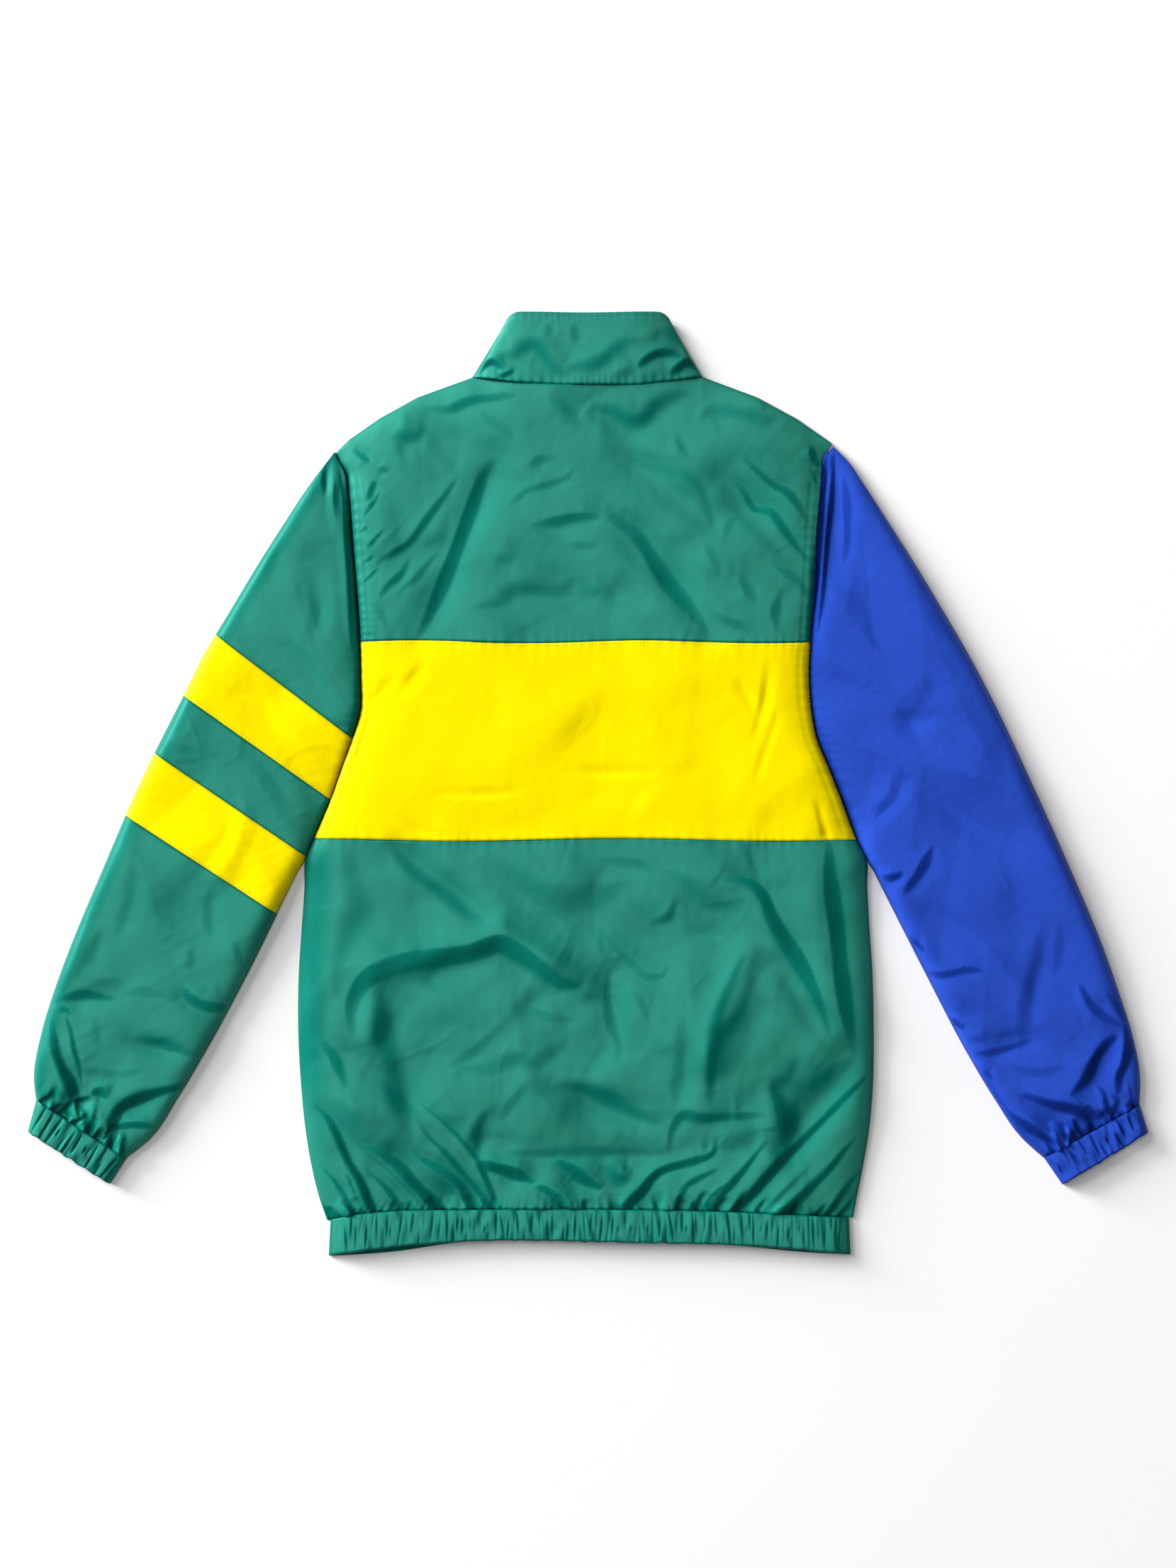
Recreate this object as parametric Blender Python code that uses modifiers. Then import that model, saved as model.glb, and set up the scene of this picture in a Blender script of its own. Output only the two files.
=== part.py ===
"""Track jacket, laid flat on its front with the back up.

Every piece of cloth is a wall made from a grid that is moved into place
and thickened. Sizes are in millimetres and become metres in the mesh.
+X is the wearer's right, +Y is towards the collar, +Z is up.
"""
import math
from collections import namedtuple

import bmesh
import bpy
import numpy

MM = 0.001
NAME = "track_jacket"

# Cloth and seams
WALL = 1.2
SEAM_HALF = 0.6
SLEEVE_SEAM_HALF = 0.5
LAYER_GAP = 0.4
FOLD_HEIGHT = 3.8
FOLD_ROUND = ((2.2, 0.0), (0.5, 0.16), (0.0, 0.5), (0.5, 0.84))

# Heights of the upper layer
BODY_FALL = 30.0
TOP_FALL = 22.0
SLEEVE_FALL = 11.0
SLEEVE_MOUTH_FALL = 30.0
COLLAR_HEIGHT = 13.0
CUFF_HEIGHT = 8.6
HEM_HEIGHT = 9.4

# Gathers
HEM_GATHERS = 60
CUFF_GATHERS = 13
STEPS_PER_GATHER = 4
HEM_RELIEF = 1.5
CUFF_RELIEF = 1.4

# Zip
TAPE_INNER = 0.25
TAPE_OUTER = 6.0
FRONT_EDGE = 6.4
SLIDER_Y = 338.0
TAPE_FORK = 1.5
LIFT_HEIGHT = 4.5
LIFT_Y = 336.0
LIFT_RADIUS = 72.0
PULL_LENGTH = 30.0

# The body's edges: the armhole seam down to the underarm, then the side seam
BodyEdge = namedtuple("BodyEdge", "y left right rise")
BODY_EDGES = [
    BodyEdge(288.6, -215.7, 206.7, 4.2),
    BodyEdge(276.6, -213.3, 199.5, 4.8),
    BodyEdge(264.6, -206.1, 198.3, 6.0),
    BodyEdge(243.6, -202.5, 196.5, 8.0),
    BodyEdge(207.6, -199.5, 193.5, 9.4),
    BodyEdge(165.6, -195.9, 191.7, 10.2),
    BodyEdge(120.6, -192.9, 188.7, 10.6),
    BodyEdge(90.6, -192.3, 187.5, 10.6),
    BodyEdge(59.4, -192.9, 189.9, 10.2),
    BodyEdge(38.4, -199.5, 194.1, 9.8),
    BodyEdge(13.8, -208.5, 204.3, 9.0),
    BodyEdge(-13.2, -218.1, 215.1, 7.8),
    BodyEdge(-48.0, -233.1, 228.3, 5.4),
    BodyEdge(-64.8, -239.7, 236.1, 4.4),
    BodyEdge(-86.4, -240.3, 236.7, 3.2),
    BodyEdge(-122.4, -242.7, 238.5, 3.0),
    BodyEdge(-158.4, -245.1, 240.9, 3.0),
    BodyEdge(-206.4, -245.7, 242.1, 3.0),
    BodyEdge(-254.4, -243.3, 241.5, 3.0),
    BodyEdge(-290.4, -239.7, 238.5, 3.0),
    BodyEdge(-326.4, -233.7, 232.5, 3.0),
    BodyEdge(-350.4, -227.7, 227.7, 3.0),
    BodyEdge(-369.6, -221.1, 224.1, 3.0),
]

# How high the back puffs up down its middle
BodyHeight = namedtuple("BodyHeight", "y height")
BODY_HEIGHTS = [
    BodyHeight(345.0, 13.0),
    BodyHeight(280.0, 14.0),
    BodyHeight(200.0, 15.0),
    BodyHeight(60.0, 15.0),
    BodyHeight(-120.0, 14.0),
    BodyHeight(-280.0, 13.5),
    BodyHeight(-340.0, 11.0),
    BodyHeight(-369.6, 9.4),
]

# Shoulder and neck line, the same for the back and the fronts outside the neck
NECK_LEFT = -97.5
NECK_RIGHT = 96.3
FRONT_NECK_Y = 298.0
FRONT_NECK_SLOPE = 1.7
TopLine = namedtuple("TopLine", "x y rise")
TOP_LINE = [
    TopLine(-215.7, 278.4, 3.0),
    TopLine(-202.5, 291.6, 3.0),
    TopLine(-176.7, 309.6, 3.0),
    TopLine(-144.3, 327.6, 3.0),
    TopLine(-97.5, 344.6, 4.0),
    TopLine(-61.5, 339.6, 10.5),
    TopLine(-23.1, 337.5, 13.0),
    TopLine(42.3, 337.5, 13.0),
    TopLine(72.9, 341.0, 9.5),
    TopLine(96.3, 345.2, 4.0),
    TopLine(143.7, 327.6, 3.0),
    TopLine(176.7, 309.6, 3.0),
    TopLine(206.7, 288.6, 3.0),
]

# Cross band seams on the back
BAND_TOP = 120.0
BAND_BOTTOM = -47.0
BAND_WAVE = 1.2

HemLine = namedtuple("HemLine", "x seam back_edge front_edge")
HEM_LINES = [
    HemLine(-221.1, -369.6, -399.6, -399.8),
    HemLine(-200.1, -364.8, -396.6, -399.0),
    HemLine(-162.3, -360.9, -391.6, -396.0),
    HemLine(-114.3, -360.0, -387.6, -389.0),
    HemLine(42.3, -360.0, -388.2, -388.2),
    HemLine(122.7, -361.8, -390.0, -391.0),
    HemLine(186.9, -364.8, -394.8, -397.0),
    HemLine(224.7, -367.2, -398.6, -398.8),
]

# Sleeve outline, read down its outer fold and its inner fold
SleeveEdge = namedtuple("SleeveEdge", "y left right")
SLEEVE_OUTER = [
    SleeveEdge(285.6, -211.0, 207.9),
    SleeveEdge(273.6, -220.5, 219.9),
    SleeveEdge(255.6, -234.3, 232.5),
    SleeveEdge(219.6, -258.3, 255.9),
    SleeveEdge(183.6, -281.1, 278.7),
    SleeveEdge(147.6, -302.7, 300.3),
    SleeveEdge(111.6, -324.3, 321.3),
    SleeveEdge(75.6, -342.3, 340.5),
    SleeveEdge(3.6, -378.3, 374.7),
    SleeveEdge(-68.4, -409.5, 407.1),
    SleeveEdge(-140.4, -439.5, 437.1),
    SleeveEdge(-176.4, -452.7, 449.7),
    SleeveEdge(-212.4, -463.5, 461.1),
    SleeveEdge(-248.4, -469.5, 467.7),
    SleeveEdge(-271.2, -467.1, 467.1),
]
SLEEVE_INNER = [
    SleeveEdge(-64.8, -240.9, 237.3),
    SleeveEdge(-86.4, -251.7, 248.1),
    SleeveEdge(-158.4, -287.1, 284.7),
    SleeveEdge(-230.4, -326.1, 322.5),
    SleeveEdge(-266.4, -347.7, 344.1),
    SleeveEdge(-302.4, -372.9, 369.9),
    SleeveEdge(-316.8, -390.9, 386.1),
]

# Sections across the sleeve, from the shoulder to the cuff seam
SleeveSection = namedtuple("SleeveSection", "outer_y inner_y height")
SLEEVE_SECTIONS = [
    SleeveSection(273.6, 267.6, 5.5),
    SleeveSection(247.2, 222.6, 9.5),
    SleeveSection(212.4, 170.4, 12.0),
    SleeveSection(172.8, 114.6, 13.0),
    SleeveSection(149.4, 72.6, 13.0),
    SleeveSection(126.6, 38.4, 13.0),
    SleeveSection(100.8, 12.0, 13.0),
    SleeveSection(75.0, -13.2, 13.0),
    SleeveSection(50.4, -35.4, 13.0),
    SleeveSection(26.4, -61.0, 13.0),
    SleeveSection(0.0, -86.4, 13.0),
    SleeveSection(-26.4, -109.8, 13.0),
    SleeveSection(-73.2, -146.4, 13.0),
    SleeveSection(-106.2, -174.0, 13.0),
    SleeveSection(-140.4, -202.2, 12.5),
    SleeveSection(-173.4, -226.2, 12.5),
    SleeveSection(-203.4, -253.2, 12.0),
    SleeveSection(-230.4, -279.6, 11.5),
    SleeveSection(-250.8, -301.8, 10.5),
    SleeveSection(-267.0, -316.8, 8.6),
]
UNDERARM_SECTION = 9
HEAD_RISES = {-1: 5.0, 1: 12.0}

# Pieces of the left sleeve, and stretches of the right one and of the forearms
SleevePiece = namedtuple("SleevePiece", "name colour side first last rows")
SLEEVE_PIECES = [
    SleevePiece("sleeve_left_head", "green", -1, 0, 5, 11),
    SleevePiece("sleeve_left_stripe_upper", "yellow", -1, 5, 7, 3),
    SleevePiece("sleeve_left_middle", "green", -1, 7, 9, 3),
    SleevePiece("sleeve_left_stripe_lower", "yellow", -1, 9, 11, 3),
    SleevePiece("sleeve_left_forearm", "green", -1, 11, 15, 6),
    SleevePiece("sleeve_left_wrist", "green", -1, 15, 19, 7),
    SleevePiece("sleeve_right_head", "blue", 1, 0, 5, 11),
    SleevePiece("sleeve_right_upper_arm", "blue", 1, 5, 9, 6),
    SleevePiece("sleeve_right_elbow", "blue", 1, 9, 12, 4),
    SleevePiece("sleeve_right_forearm", "blue", 1, 12, 15, 4),
    SleevePiece("sleeve_right_wrist", "blue", 1, 15, 19, 7),
]

# A cuff from its seam (outer, inner) to its opening (outer, inner)
Cuff = namedtuple("Cuff", "seam_outer seam_inner open_outer open_inner")
CUFFS = {
    -1: Cuff((-467.1, -267.0), (-390.9, -316.8), (-474.3, -294.0), (-404.7, -338.4)),
    1: Cuff((467.1, -271.2), (386.1, -316.2), (474.4, -294.6), (401.7, -339.0)),
}

# Large folds of the upper layer: a ridge rises, a trough has a negative rise
Fold = namedtuple("Fold", "x0 y0 x1 y1 width rise")
FOLDS = [
    Fold(-157, -58, -75, -124, 15, -2.6),
    Fold(-177, -163, -75, -126, 13, 3.0),
    Fold(-75, -126, -1, -168, 13, 3.0),
    Fold(136, -139, 104, -227, 13, 3.0),
    Fold(104, -227, 90, -278, 13, 2.4),
    Fold(165, -152, 211, -220, 13, -2.8),
    Fold(204, -51, 211, -152, 13, -2.6),
    Fold(211, -152, 228, -227, 12, -2.6),
    Fold(226, -232, 165, -308, 12, -3.0),
    Fold(-30, -256, 71, -287, 13, -2.4),
    Fold(-180, -165, -188, -233, 12, 2.4),
    Fold(-188, -235, -98, -308, 12, -2.6),
    Fold(-232, -269, -193, -305, 12, -2.0),
    Fold(19, -164, 19, -227, 13, -2.2),
    Fold(-74, -311, 68, -313, 12, -2.0),
    Fold(214, -268, 132, -355, 12, -2.6),
    Fold(-74, 274, -105, 219, 15, -2.4),
    Fold(-105, 219, -141, 127, 15, -2.6),
    Fold(12, 234, 69, 170, 13, -2.2),
    Fold(69, 170, 102, 126, 13, -2.2),
    Fold(30, 282, 102, 223, 13, -2.0),
    Fold(115, 258, 186, 184, 13, -2.4),
    Fold(12, 318, 81, 303, 16, -2.0),
    Fold(-182, 184, -124, 200, 12, -2.0),
    Fold(-440, -184, -399, -176, 10, -2.0),
    Fold(-340, -228, -384, -218, 10, -2.0),
    Fold(-402, -278, -356, -262, 10, -2.0),
    Fold(212, 262, 210, 179, 10, -2.0),
    Fold(334, -224, 372, -218, 10, -2.0),
    Fold(447, -216, 420, -260, 10, -2.0),
    Fold(374, -268, 423, -288, 10, -2.0),
]

COLOURS = {
    "green": (0.027, 0.250, 0.180, 1.0),
    "yellow": (1.0, 0.880, 0.003, 1.0),
    "blue": (0.020, 0.066, 0.460, 1.0),
    "metal": (0.55, 0.55, 0.56, 1.0),
}
METALLIC = {"metal": 1.0}
ROUGHNESS = {"metal": 0.35}

Station = namedtuple("Station", "across shift level")


def start_scene():
    """Empty the scene and make the two collections."""
    for item in list(bpy.data.objects):
        bpy.data.objects.remove(item, do_unlink=True)
    parts = bpy.data.collections.new(NAME)
    tools = bpy.data.collections.new("cutters")
    bpy.context.scene.collection.children.link(parts)
    bpy.context.scene.collection.children.link(tools)
    return parts, tools


def make_material(name, colour):
    """A plain surface in one of the jacket's colours."""
    material = bpy.data.materials.new(name)
    material.use_nodes = True
    shader = material.node_tree.nodes["Principled BSDF"]
    shader.inputs["Base Color"].default_value = COLOURS[colour]
    shader.inputs["Roughness"].default_value = ROUGHNESS.get(colour, 0.45)
    shader.inputs["Metallic"].default_value = METALLIC.get(colour, 0.0)
    return material


def curve_through(keys, values):
    """A smooth curve through a table, level beyond its ends."""
    order = numpy.argsort(keys)
    keys = numpy.array(keys, dtype=float)[order]
    values = numpy.array(values, dtype=float)[order]
    slopes = numpy.gradient(values, keys)

    def at(key):
        key = min(max(key, keys[0]), keys[-1])
        index = int(numpy.searchsorted(keys, key)) - 1
        index = min(max(index, 0), len(keys) - 2)
        span = keys[index + 1] - keys[index]
        t = (key - keys[index]) / span
        a = (1 + 2 * t) * (1 - t) ** 2 * values[index]
        b = t * (1 - t) ** 2 * span * slopes[index]
        c = t * t * (3 - 2 * t) * values[index + 1]
        d = t * t * (t - 1) * span * slopes[index + 1]
        return float(a + b + c + d)

    return at


def column_curve(table, key, value):
    """The smooth curve of one column of a table against another."""
    return curve_through([getattr(row, key) for row in table],
                         [getattr(row, value) for row in table])


body_left = column_curve(BODY_EDGES, "y", "left")
body_right = column_curve(BODY_EDGES, "y", "right")
body_rise = column_curve(BODY_EDGES, "y", "rise")
body_height = column_curve(BODY_HEIGHTS, "y", "height")
top_rise = column_curve(TOP_LINE, "x", "rise")
hem_seam = column_curve(HEM_LINES, "x", "seam")
hem_back_edge = column_curve(HEM_LINES, "x", "back_edge")
hem_front_edge = column_curve(HEM_LINES, "x", "front_edge")
sleeve_outer = {-1: column_curve(SLEEVE_OUTER, "y", "left"),
                1: column_curve(SLEEVE_OUTER, "y", "right")}
sleeve_inner = {-1: column_curve(SLEEVE_INNER, "y", "left"),
                1: column_curve(SLEEVE_INNER, "y", "right")}


def top_y(x):
    """The shoulder and neck line, straight between its rows."""
    return float(numpy.interp(x, [row.x for row in TOP_LINE], [row.y for row in TOP_LINE]))


def front_top_y(x):
    """The front's shoulder line, then its lower neck line."""
    if x < NECK_LEFT or x > NECK_RIGHT:
        return top_y(x)
    corner = NECK_LEFT if x < 0 else NECK_RIGHT
    share = abs(x / corner) ** FRONT_NECK_SLOPE
    return FRONT_NECK_Y + (top_y(corner) - FRONT_NECK_Y) * share


def fold_rise(x, y):
    """Height that the large folds add at a point."""
    total = 0.0
    for fold in FOLDS:
        along_x = fold.x1 - fold.x0
        along_y = fold.y1 - fold.y0
        length_squared = along_x ** 2 + along_y ** 2
        t = ((x - fold.x0) * along_x + (y - fold.y0) * along_y) / length_squared
        t = min(max(t, 0.0), 1.0)
        away = math.hypot(x - fold.x0 - t * along_x, y - fold.y0 - t * along_y)
        if away < 3 * fold.width:
            taper = 0.55 + 0.45 * math.sin(math.pi * t)
            total += fold.rise * taper * math.exp(-(away / fold.width) ** 2)
    return total


def tab_lift(x, y):
    """How far the pull tab under the zip holds the front up."""
    share = math.hypot(x, y - LIFT_Y) / LIFT_RADIUS
    return LIFT_HEIGHT * (1 - share ** 2) ** 2 if share < 1 else 0.0


def back_height(x, y):
    """Top of the back, puffed up between its side edges and its top line."""
    full = body_height(y)
    rise = body_rise(y)
    height = full
    for edge in (body_left(y), body_right(y)):
        height -= (full - rise) * math.exp(-abs(x - edge) / BODY_FALL)
    drop = max(top_y(x) - y, 0.0)
    height -= (height - min(top_rise(x), height)) * math.exp(-drop / TOP_FALL)
    inside = min(x - body_left(y), body_right(y) - x, drop + 12.0)
    fade = 1 - math.exp(-max(inside, 0.0) / 14.0)
    return max(height + fold_rise(x, y) * fade, WALL * 2 + LAYER_GAP)


def make_sheet(name, colour, columns, rows, place, side=-1, wall=None, thickest=WALL):
    """A wall of cloth from a grid.

    place(i, j) gives a grid point in millimetres. side is -1 where those
    points are the outer face and 1 where they are the inner face. wall(i, j)
    gives the wall's thickness where it varies, up to thickest.
    """
    bpy.ops.mesh.primitive_grid_add(x_subdivisions=columns, y_subdivisions=rows, size=2)
    piece = bpy.context.object
    piece.name = name
    piece.data.name = name
    spots = []
    for vertex in piece.data.vertices:
        i = round((vertex.co.x + 1) / 2 * columns)
        j = round((vertex.co.y + 1) / 2 * rows)
        spots.append((i, j))
        vertex.co = [value * MM for value in place(i, j)]
    solidify = piece.modifiers.new("wall", "SOLIDIFY")
    solidify.thickness = thickest * MM
    solidify.offset = side
    solidify.use_even_offset = False
    if wall is not None:
        group = piece.vertex_groups.new(name="relief")
        for index, (i, j) in enumerate(spots):
            group.add([index], wall(i, j) / thickest, "REPLACE")
        solidify.vertex_group = "relief"
    weld_edges(piece.data)
    piece.data.materials.append(make_material(name, colour))
    for polygon in piece.data.polygons:
        polygon.use_smooth = True
    move_to(PARTS, piece)
    return piece


def move_to(collection, piece):
    """Keep a piece in one collection only."""
    for old in list(piece.users_collection):
        old.objects.unlink(piece)
    collection.objects.link(piece)


def weld_edges(mesh):
    """Join the two ends of a tube where they lie on each other."""
    work = bmesh.new()
    work.from_mesh(mesh)
    bmesh.ops.remove_doubles(work, verts=work.verts, dist=0.00001)
    work.to_mesh(mesh)
    work.free()


def spread(first, last, count):
    """Evenly spaced values, both ends included."""
    return [first + (last - first) * index / (count - 1) for index in range(count)]


# ---------------------------------------------------------------- the body

NECK_SHARES = ((0.0, 0.0), (8 / 28, 0.277), (20 / 28, 0.739), (1.0, 1.0))


def across_share(u):
    """Columns of the back, with one at each corner of the neck."""
    return float(numpy.interp(u, [a for a, b in NECK_SHARES], [b for a, b in NECK_SHARES]))


def band_top_y(x):
    return BAND_TOP + BAND_WAVE * math.sin(x / 31.0)


def band_bottom_y(x):
    return BAND_BOTTOM + BAND_WAVE * math.sin(x / 43.0 + 1.0)


def back_point(share, y_of_x, top_of_x, v):
    """A point of the back: share across, v up between two lines."""
    x = body_left(0) + (body_right(0) - body_left(0)) * share
    for _ in range(4):
        low = y_of_x(x) + SEAM_HALF
        high = top_of_x(x) - SEAM_HALF
        y = low + (high - low) * v
        left = body_left(y) + SEAM_HALF
        right = body_right(y) - SEAM_HALF
        x = left + (right - left) * share
    return x, y, back_height(x, y)


def make_back_piece(name, colour, columns, rows, low, high):
    def place(i, j):
        return back_point(across_share(i / columns), low, high, j / rows)

    return make_sheet(name, colour, columns, rows, place)


def make_front(name, side):
    """One front, flat under the back, from its side seam to the zip."""
    columns = 7
    rows = 20
    edge = body_left if side < 0 else body_right
    corner_share = 0.545

    def place(i, j):
        from_side = i / columns if side < 0 else 1 - i / columns
        share = numpy.interp(from_side, (0, 4 / 7, 1), (0, corner_share, 1))
        x = side * 120.0
        up = numpy.interp(j, (0, 4, 13, 16, rows), (0, 0.44, 0.67, 0.9, 1))
        for _ in range(6):
            low = hem_seam(x) + SEAM_HALF
            high = front_top_y(x) - 2 * SEAM_HALF
            y = low + (high - low) * up
            start = edge(y) - side * SEAM_HALF
            x = start + (side * FRONT_EDGE - start) * share
        return x, y, WALL + tab_lift(x, y)

    return make_sheet(name, "green", columns, rows, place)


# ------------------------------------------------------- strips with folds

def left_fold(scale=1.0):
    """Stations round a left fold, from the lower layer up."""
    return [Station(0.0, inset * scale, level) for inset, level in FOLD_ROUND]


def right_fold(scale=1.0):
    """Stations round a right fold, from the upper layer down."""
    return [Station(1.0, -inset * scale, level) for inset, level in reversed(FOLD_ROUND)]


def layer(first, last, count, level):
    """Stations along one layer."""
    return [Station(across, 0.0, level) for across in spread(first, last, count)]


def hem_point(station, v):
    """The inner face of the hem band."""
    left = -218.7 + WALL + SEAM_HALF - 1.5 * (1 - v)
    right = 221.5 - WALL - SEAM_HALF + 1.5 * (1 - v)
    x = left + (right - left) * station.across + station.shift
    bottom_lower = hem_front_edge(x)
    bottom_upper = hem_back_edge(x)
    bottom = bottom_lower + (bottom_upper - bottom_lower) * station.level
    y = bottom + (hem_seam(x) - SEAM_HALF - bottom) * v
    if station.level < 1:
        return x, y, WALL + station.level * (FOLD_HEIGHT - 2 * WALL)
    full = HEM_HEIGHT - WALL
    rise = FOLD_HEIGHT - WALL
    near = min(abs(x - left), abs(right - x))
    return x, y, full - (full - rise) * math.exp(-near / BODY_FALL)


def make_hem_band():
    """A strip from the zip round the back and again to the zip."""
    middle = 0.4968
    zip_half = FRONT_EDGE / 436.0
    steps = HEM_GATHERS * STEPS_PER_GATHER
    upper = layer(0.01, 0.99, steps + 1, 1.0)
    stations = (layer(middle - zip_half, 0.05, 5, 0.0) + left_fold(0.4) + upper
                + right_fold(0.4) + layer(0.95, middle + zip_half, 5, 0.0))
    rows = 2
    first_upper = 5 + len(FOLD_ROUND)

    def place(i, j):
        return hem_point(stations[i], j / rows)

    def wall(i, j):
        if stations[i].level < 1:
            return WALL
        turn = (i - first_upper) / STEPS_PER_GATHER
        uneven = 0.75 + 0.25 * math.sin(turn * 1.7) * math.cos(turn * 0.61)
        end = min(1.0, 0.25 + turn / 6.0)
        return WALL + HEM_RELIEF * end * uneven * (0.5 - 0.5 * math.cos(2 * math.pi * turn))

    return make_sheet("hem_band", "green", len(stations) - 1, rows, place, side=1,
                      wall=wall, thickest=WALL + HEM_RELIEF)


def make_cuff(name, colour, side):
    """A gathered ring at the end of a sleeve."""
    cuff = CUFFS[side]
    steps = CUFF_GATHERS * STEPS_PER_GATHER
    stations = (left_fold(0.4) + layer(0.04, 0.96, steps + 1, 1.0) + right_fold(0.4)
                + layer(0.9, 0.1, 4, 0.0))
    stations = stations + stations[:1]
    rows = 2
    first_upper = len(FOLD_ROUND)

    def ends(v):
        seam = (cuff.seam_outer, cuff.seam_inner)
        opening = (cuff.open_outer, cuff.open_inner)
        pair = [numpy.array(a) * v + numpy.array(b) * (1 - v) for a, b in zip(seam, opening)]
        return pair if side < 0 else pair[::-1]

    def place(i, j):
        station = stations[i]
        left, right = ends(j / rows)
        toward = (right - left) / numpy.linalg.norm(right - left)
        down = numpy.array((toward[1], -toward[0]))
        left = left + toward * WALL
        right = right - toward * WALL
        spot = left + (right - left) * station.across + toward * station.shift
        spot = spot + down * SEAM_HALF * 1.2 * j / rows
        if station.level < 1:
            return spot[0], spot[1], WALL + station.level * (FOLD_HEIGHT - 2 * WALL)
        near = min(station.across, 1 - station.across) * numpy.linalg.norm(right - left)
        full = CUFF_HEIGHT - WALL
        rise = FOLD_HEIGHT - WALL
        return spot[0], spot[1], full - (full - rise) * math.exp(-near / SLEEVE_FALL)

    def wall(i, j):
        if stations[i].level < 1:
            return WALL
        turn = (i - first_upper) / STEPS_PER_GATHER
        uneven = 0.8 + 0.2 * math.sin(turn * 2.3)
        return WALL + CUFF_RELIEF * uneven * (0.5 - 0.5 * math.cos(2 * math.pi * turn))

    return make_sheet(name, colour, len(stations) - 1, rows, place, side=1, wall=wall,
                      thickest=WALL + CUFF_RELIEF)


def collar_point(station, v):
    """The outer face of the stand collar, folded at the sides of the neck."""
    bottom_left, bottom_right = NECK_LEFT - 0.5, NECK_RIGHT + 0.5
    top_left, top_right = -70.5, 71.1
    left = bottom_left + (top_left - bottom_left) * v
    right = bottom_right + (top_right - bottom_right) * v
    x = left + (right - left) * station.across + station.shift
    spot_x = bottom_left + (bottom_right - bottom_left) * station.across + station.shift
    neck_upper = top_y(spot_x)
    neck_lower = front_top_y(spot_x)
    from_corner = min(x - left, right - x)
    corner = 9.0 * (1 - math.sqrt(max(0.0, 1 - (1 - min(from_corner, 9.0) / 9.0) ** 2)))
    sink = 1.2 * math.exp(-(x / 40.0) ** 2)
    head_upper = 399.8 - corner - sink
    middle = abs(2 * station.across - 1)
    head_lower = 356.0 + 34.0 * middle ** FRONT_NECK_SLOPE
    bottom = neck_lower + (neck_upper - neck_lower) * station.level + SEAM_HALF
    head = head_lower + (head_upper - head_lower) * station.level
    y = bottom + (head - bottom) * v
    if station.level < 1:
        return x, y, station.level * FOLD_HEIGHT + tab_lift(x, y) * (1 - station.level)
    full = COLLAR_HEIGHT
    return x, y, full - (full - FOLD_HEIGHT - 0.2) * math.exp(-from_corner / 16.0)


def make_collar():
    lower_half = 0.5 - (FRONT_EDGE + 0.6) / 194.8
    stations = (layer(lower_half, 0.06, 5, 0.0) + left_fold() + layer(0.03, 0.97, 15, 1.0)
                + right_fold() + layer(0.94, 1 - lower_half, 5, 0.0))
    rows = 6

    def place(i, j):
        station = stations[i]
        x, y, z = collar_point(station, j / rows)
        if abs(station.across - 0.5) < 0.06 and station.level == 0.0:
            x = math.copysign(FRONT_EDGE, x)
        return x, y, z

    return make_sheet("collar", "green", len(stations) - 1, rows, place)


# ---------------------------------------------------------------- sleeves

def sleeve_section(side, v):
    """Outer point, inner point and height of the section at v."""
    sections = SLEEVE_SECTIONS
    keys = range(len(sections))
    outer_y = float(numpy.interp(v, keys, [row.outer_y for row in sections]))
    inner_y = float(numpy.interp(v, keys, [row.inner_y for row in sections]))
    height = float(numpy.interp(v, keys, [row.height for row in sections]))
    rise = HEAD_RISES[side] * max(0.0, 1 - v / 2)
    outer_y += rise
    inner_y += rise
    armhole = body_left if side < 0 else body_right
    inner_x = armhole(inner_y)
    if v >= UNDERARM_SECTION:
        inner_x = sleeve_inner[side](inner_y)
    outer = numpy.array((sleeve_outer[side](outer_y), outer_y))
    inner = numpy.array((inner_x + side * SEAM_HALF, inner_y))
    return outer, inner, height


def sleeve_stations(closed):
    """Stations from the lower inner end, out, round and back above."""
    lower = [Station(across, 0.0, 0.0) for across in (0.15, 0.45, 0.75)]
    outer = [Station(1.0, -inset, level) for inset, level in FOLD_ROUND]
    upper = [Station(across, 0.0, 1.0) for across in (0.95, 0.86, 0.7, 0.5, 0.3, 0.14)]
    if closed:
        start = [Station(0.0, 0.0, 0.5), Station(0.0, 0.5, 0.16), Station(0.0, 2.2, 0.0)]
        finish = [Station(0.05, 0.0, 1.0), Station(0.0, 0.5, 0.84), Station(0.0, 0.0, 0.5)]
    else:
        start = [Station(0.0, 0.0, 0.0), Station(0.0, 2.5, 0.0), Station(0.0, 6.0, 0.0)]
        finish = [Station(0.0, 6.0, 1.0), Station(0.0, 2.5, 1.0), Station(0.0, 0.0, 1.0)]
    return start + lower + outer + upper + finish


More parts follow.
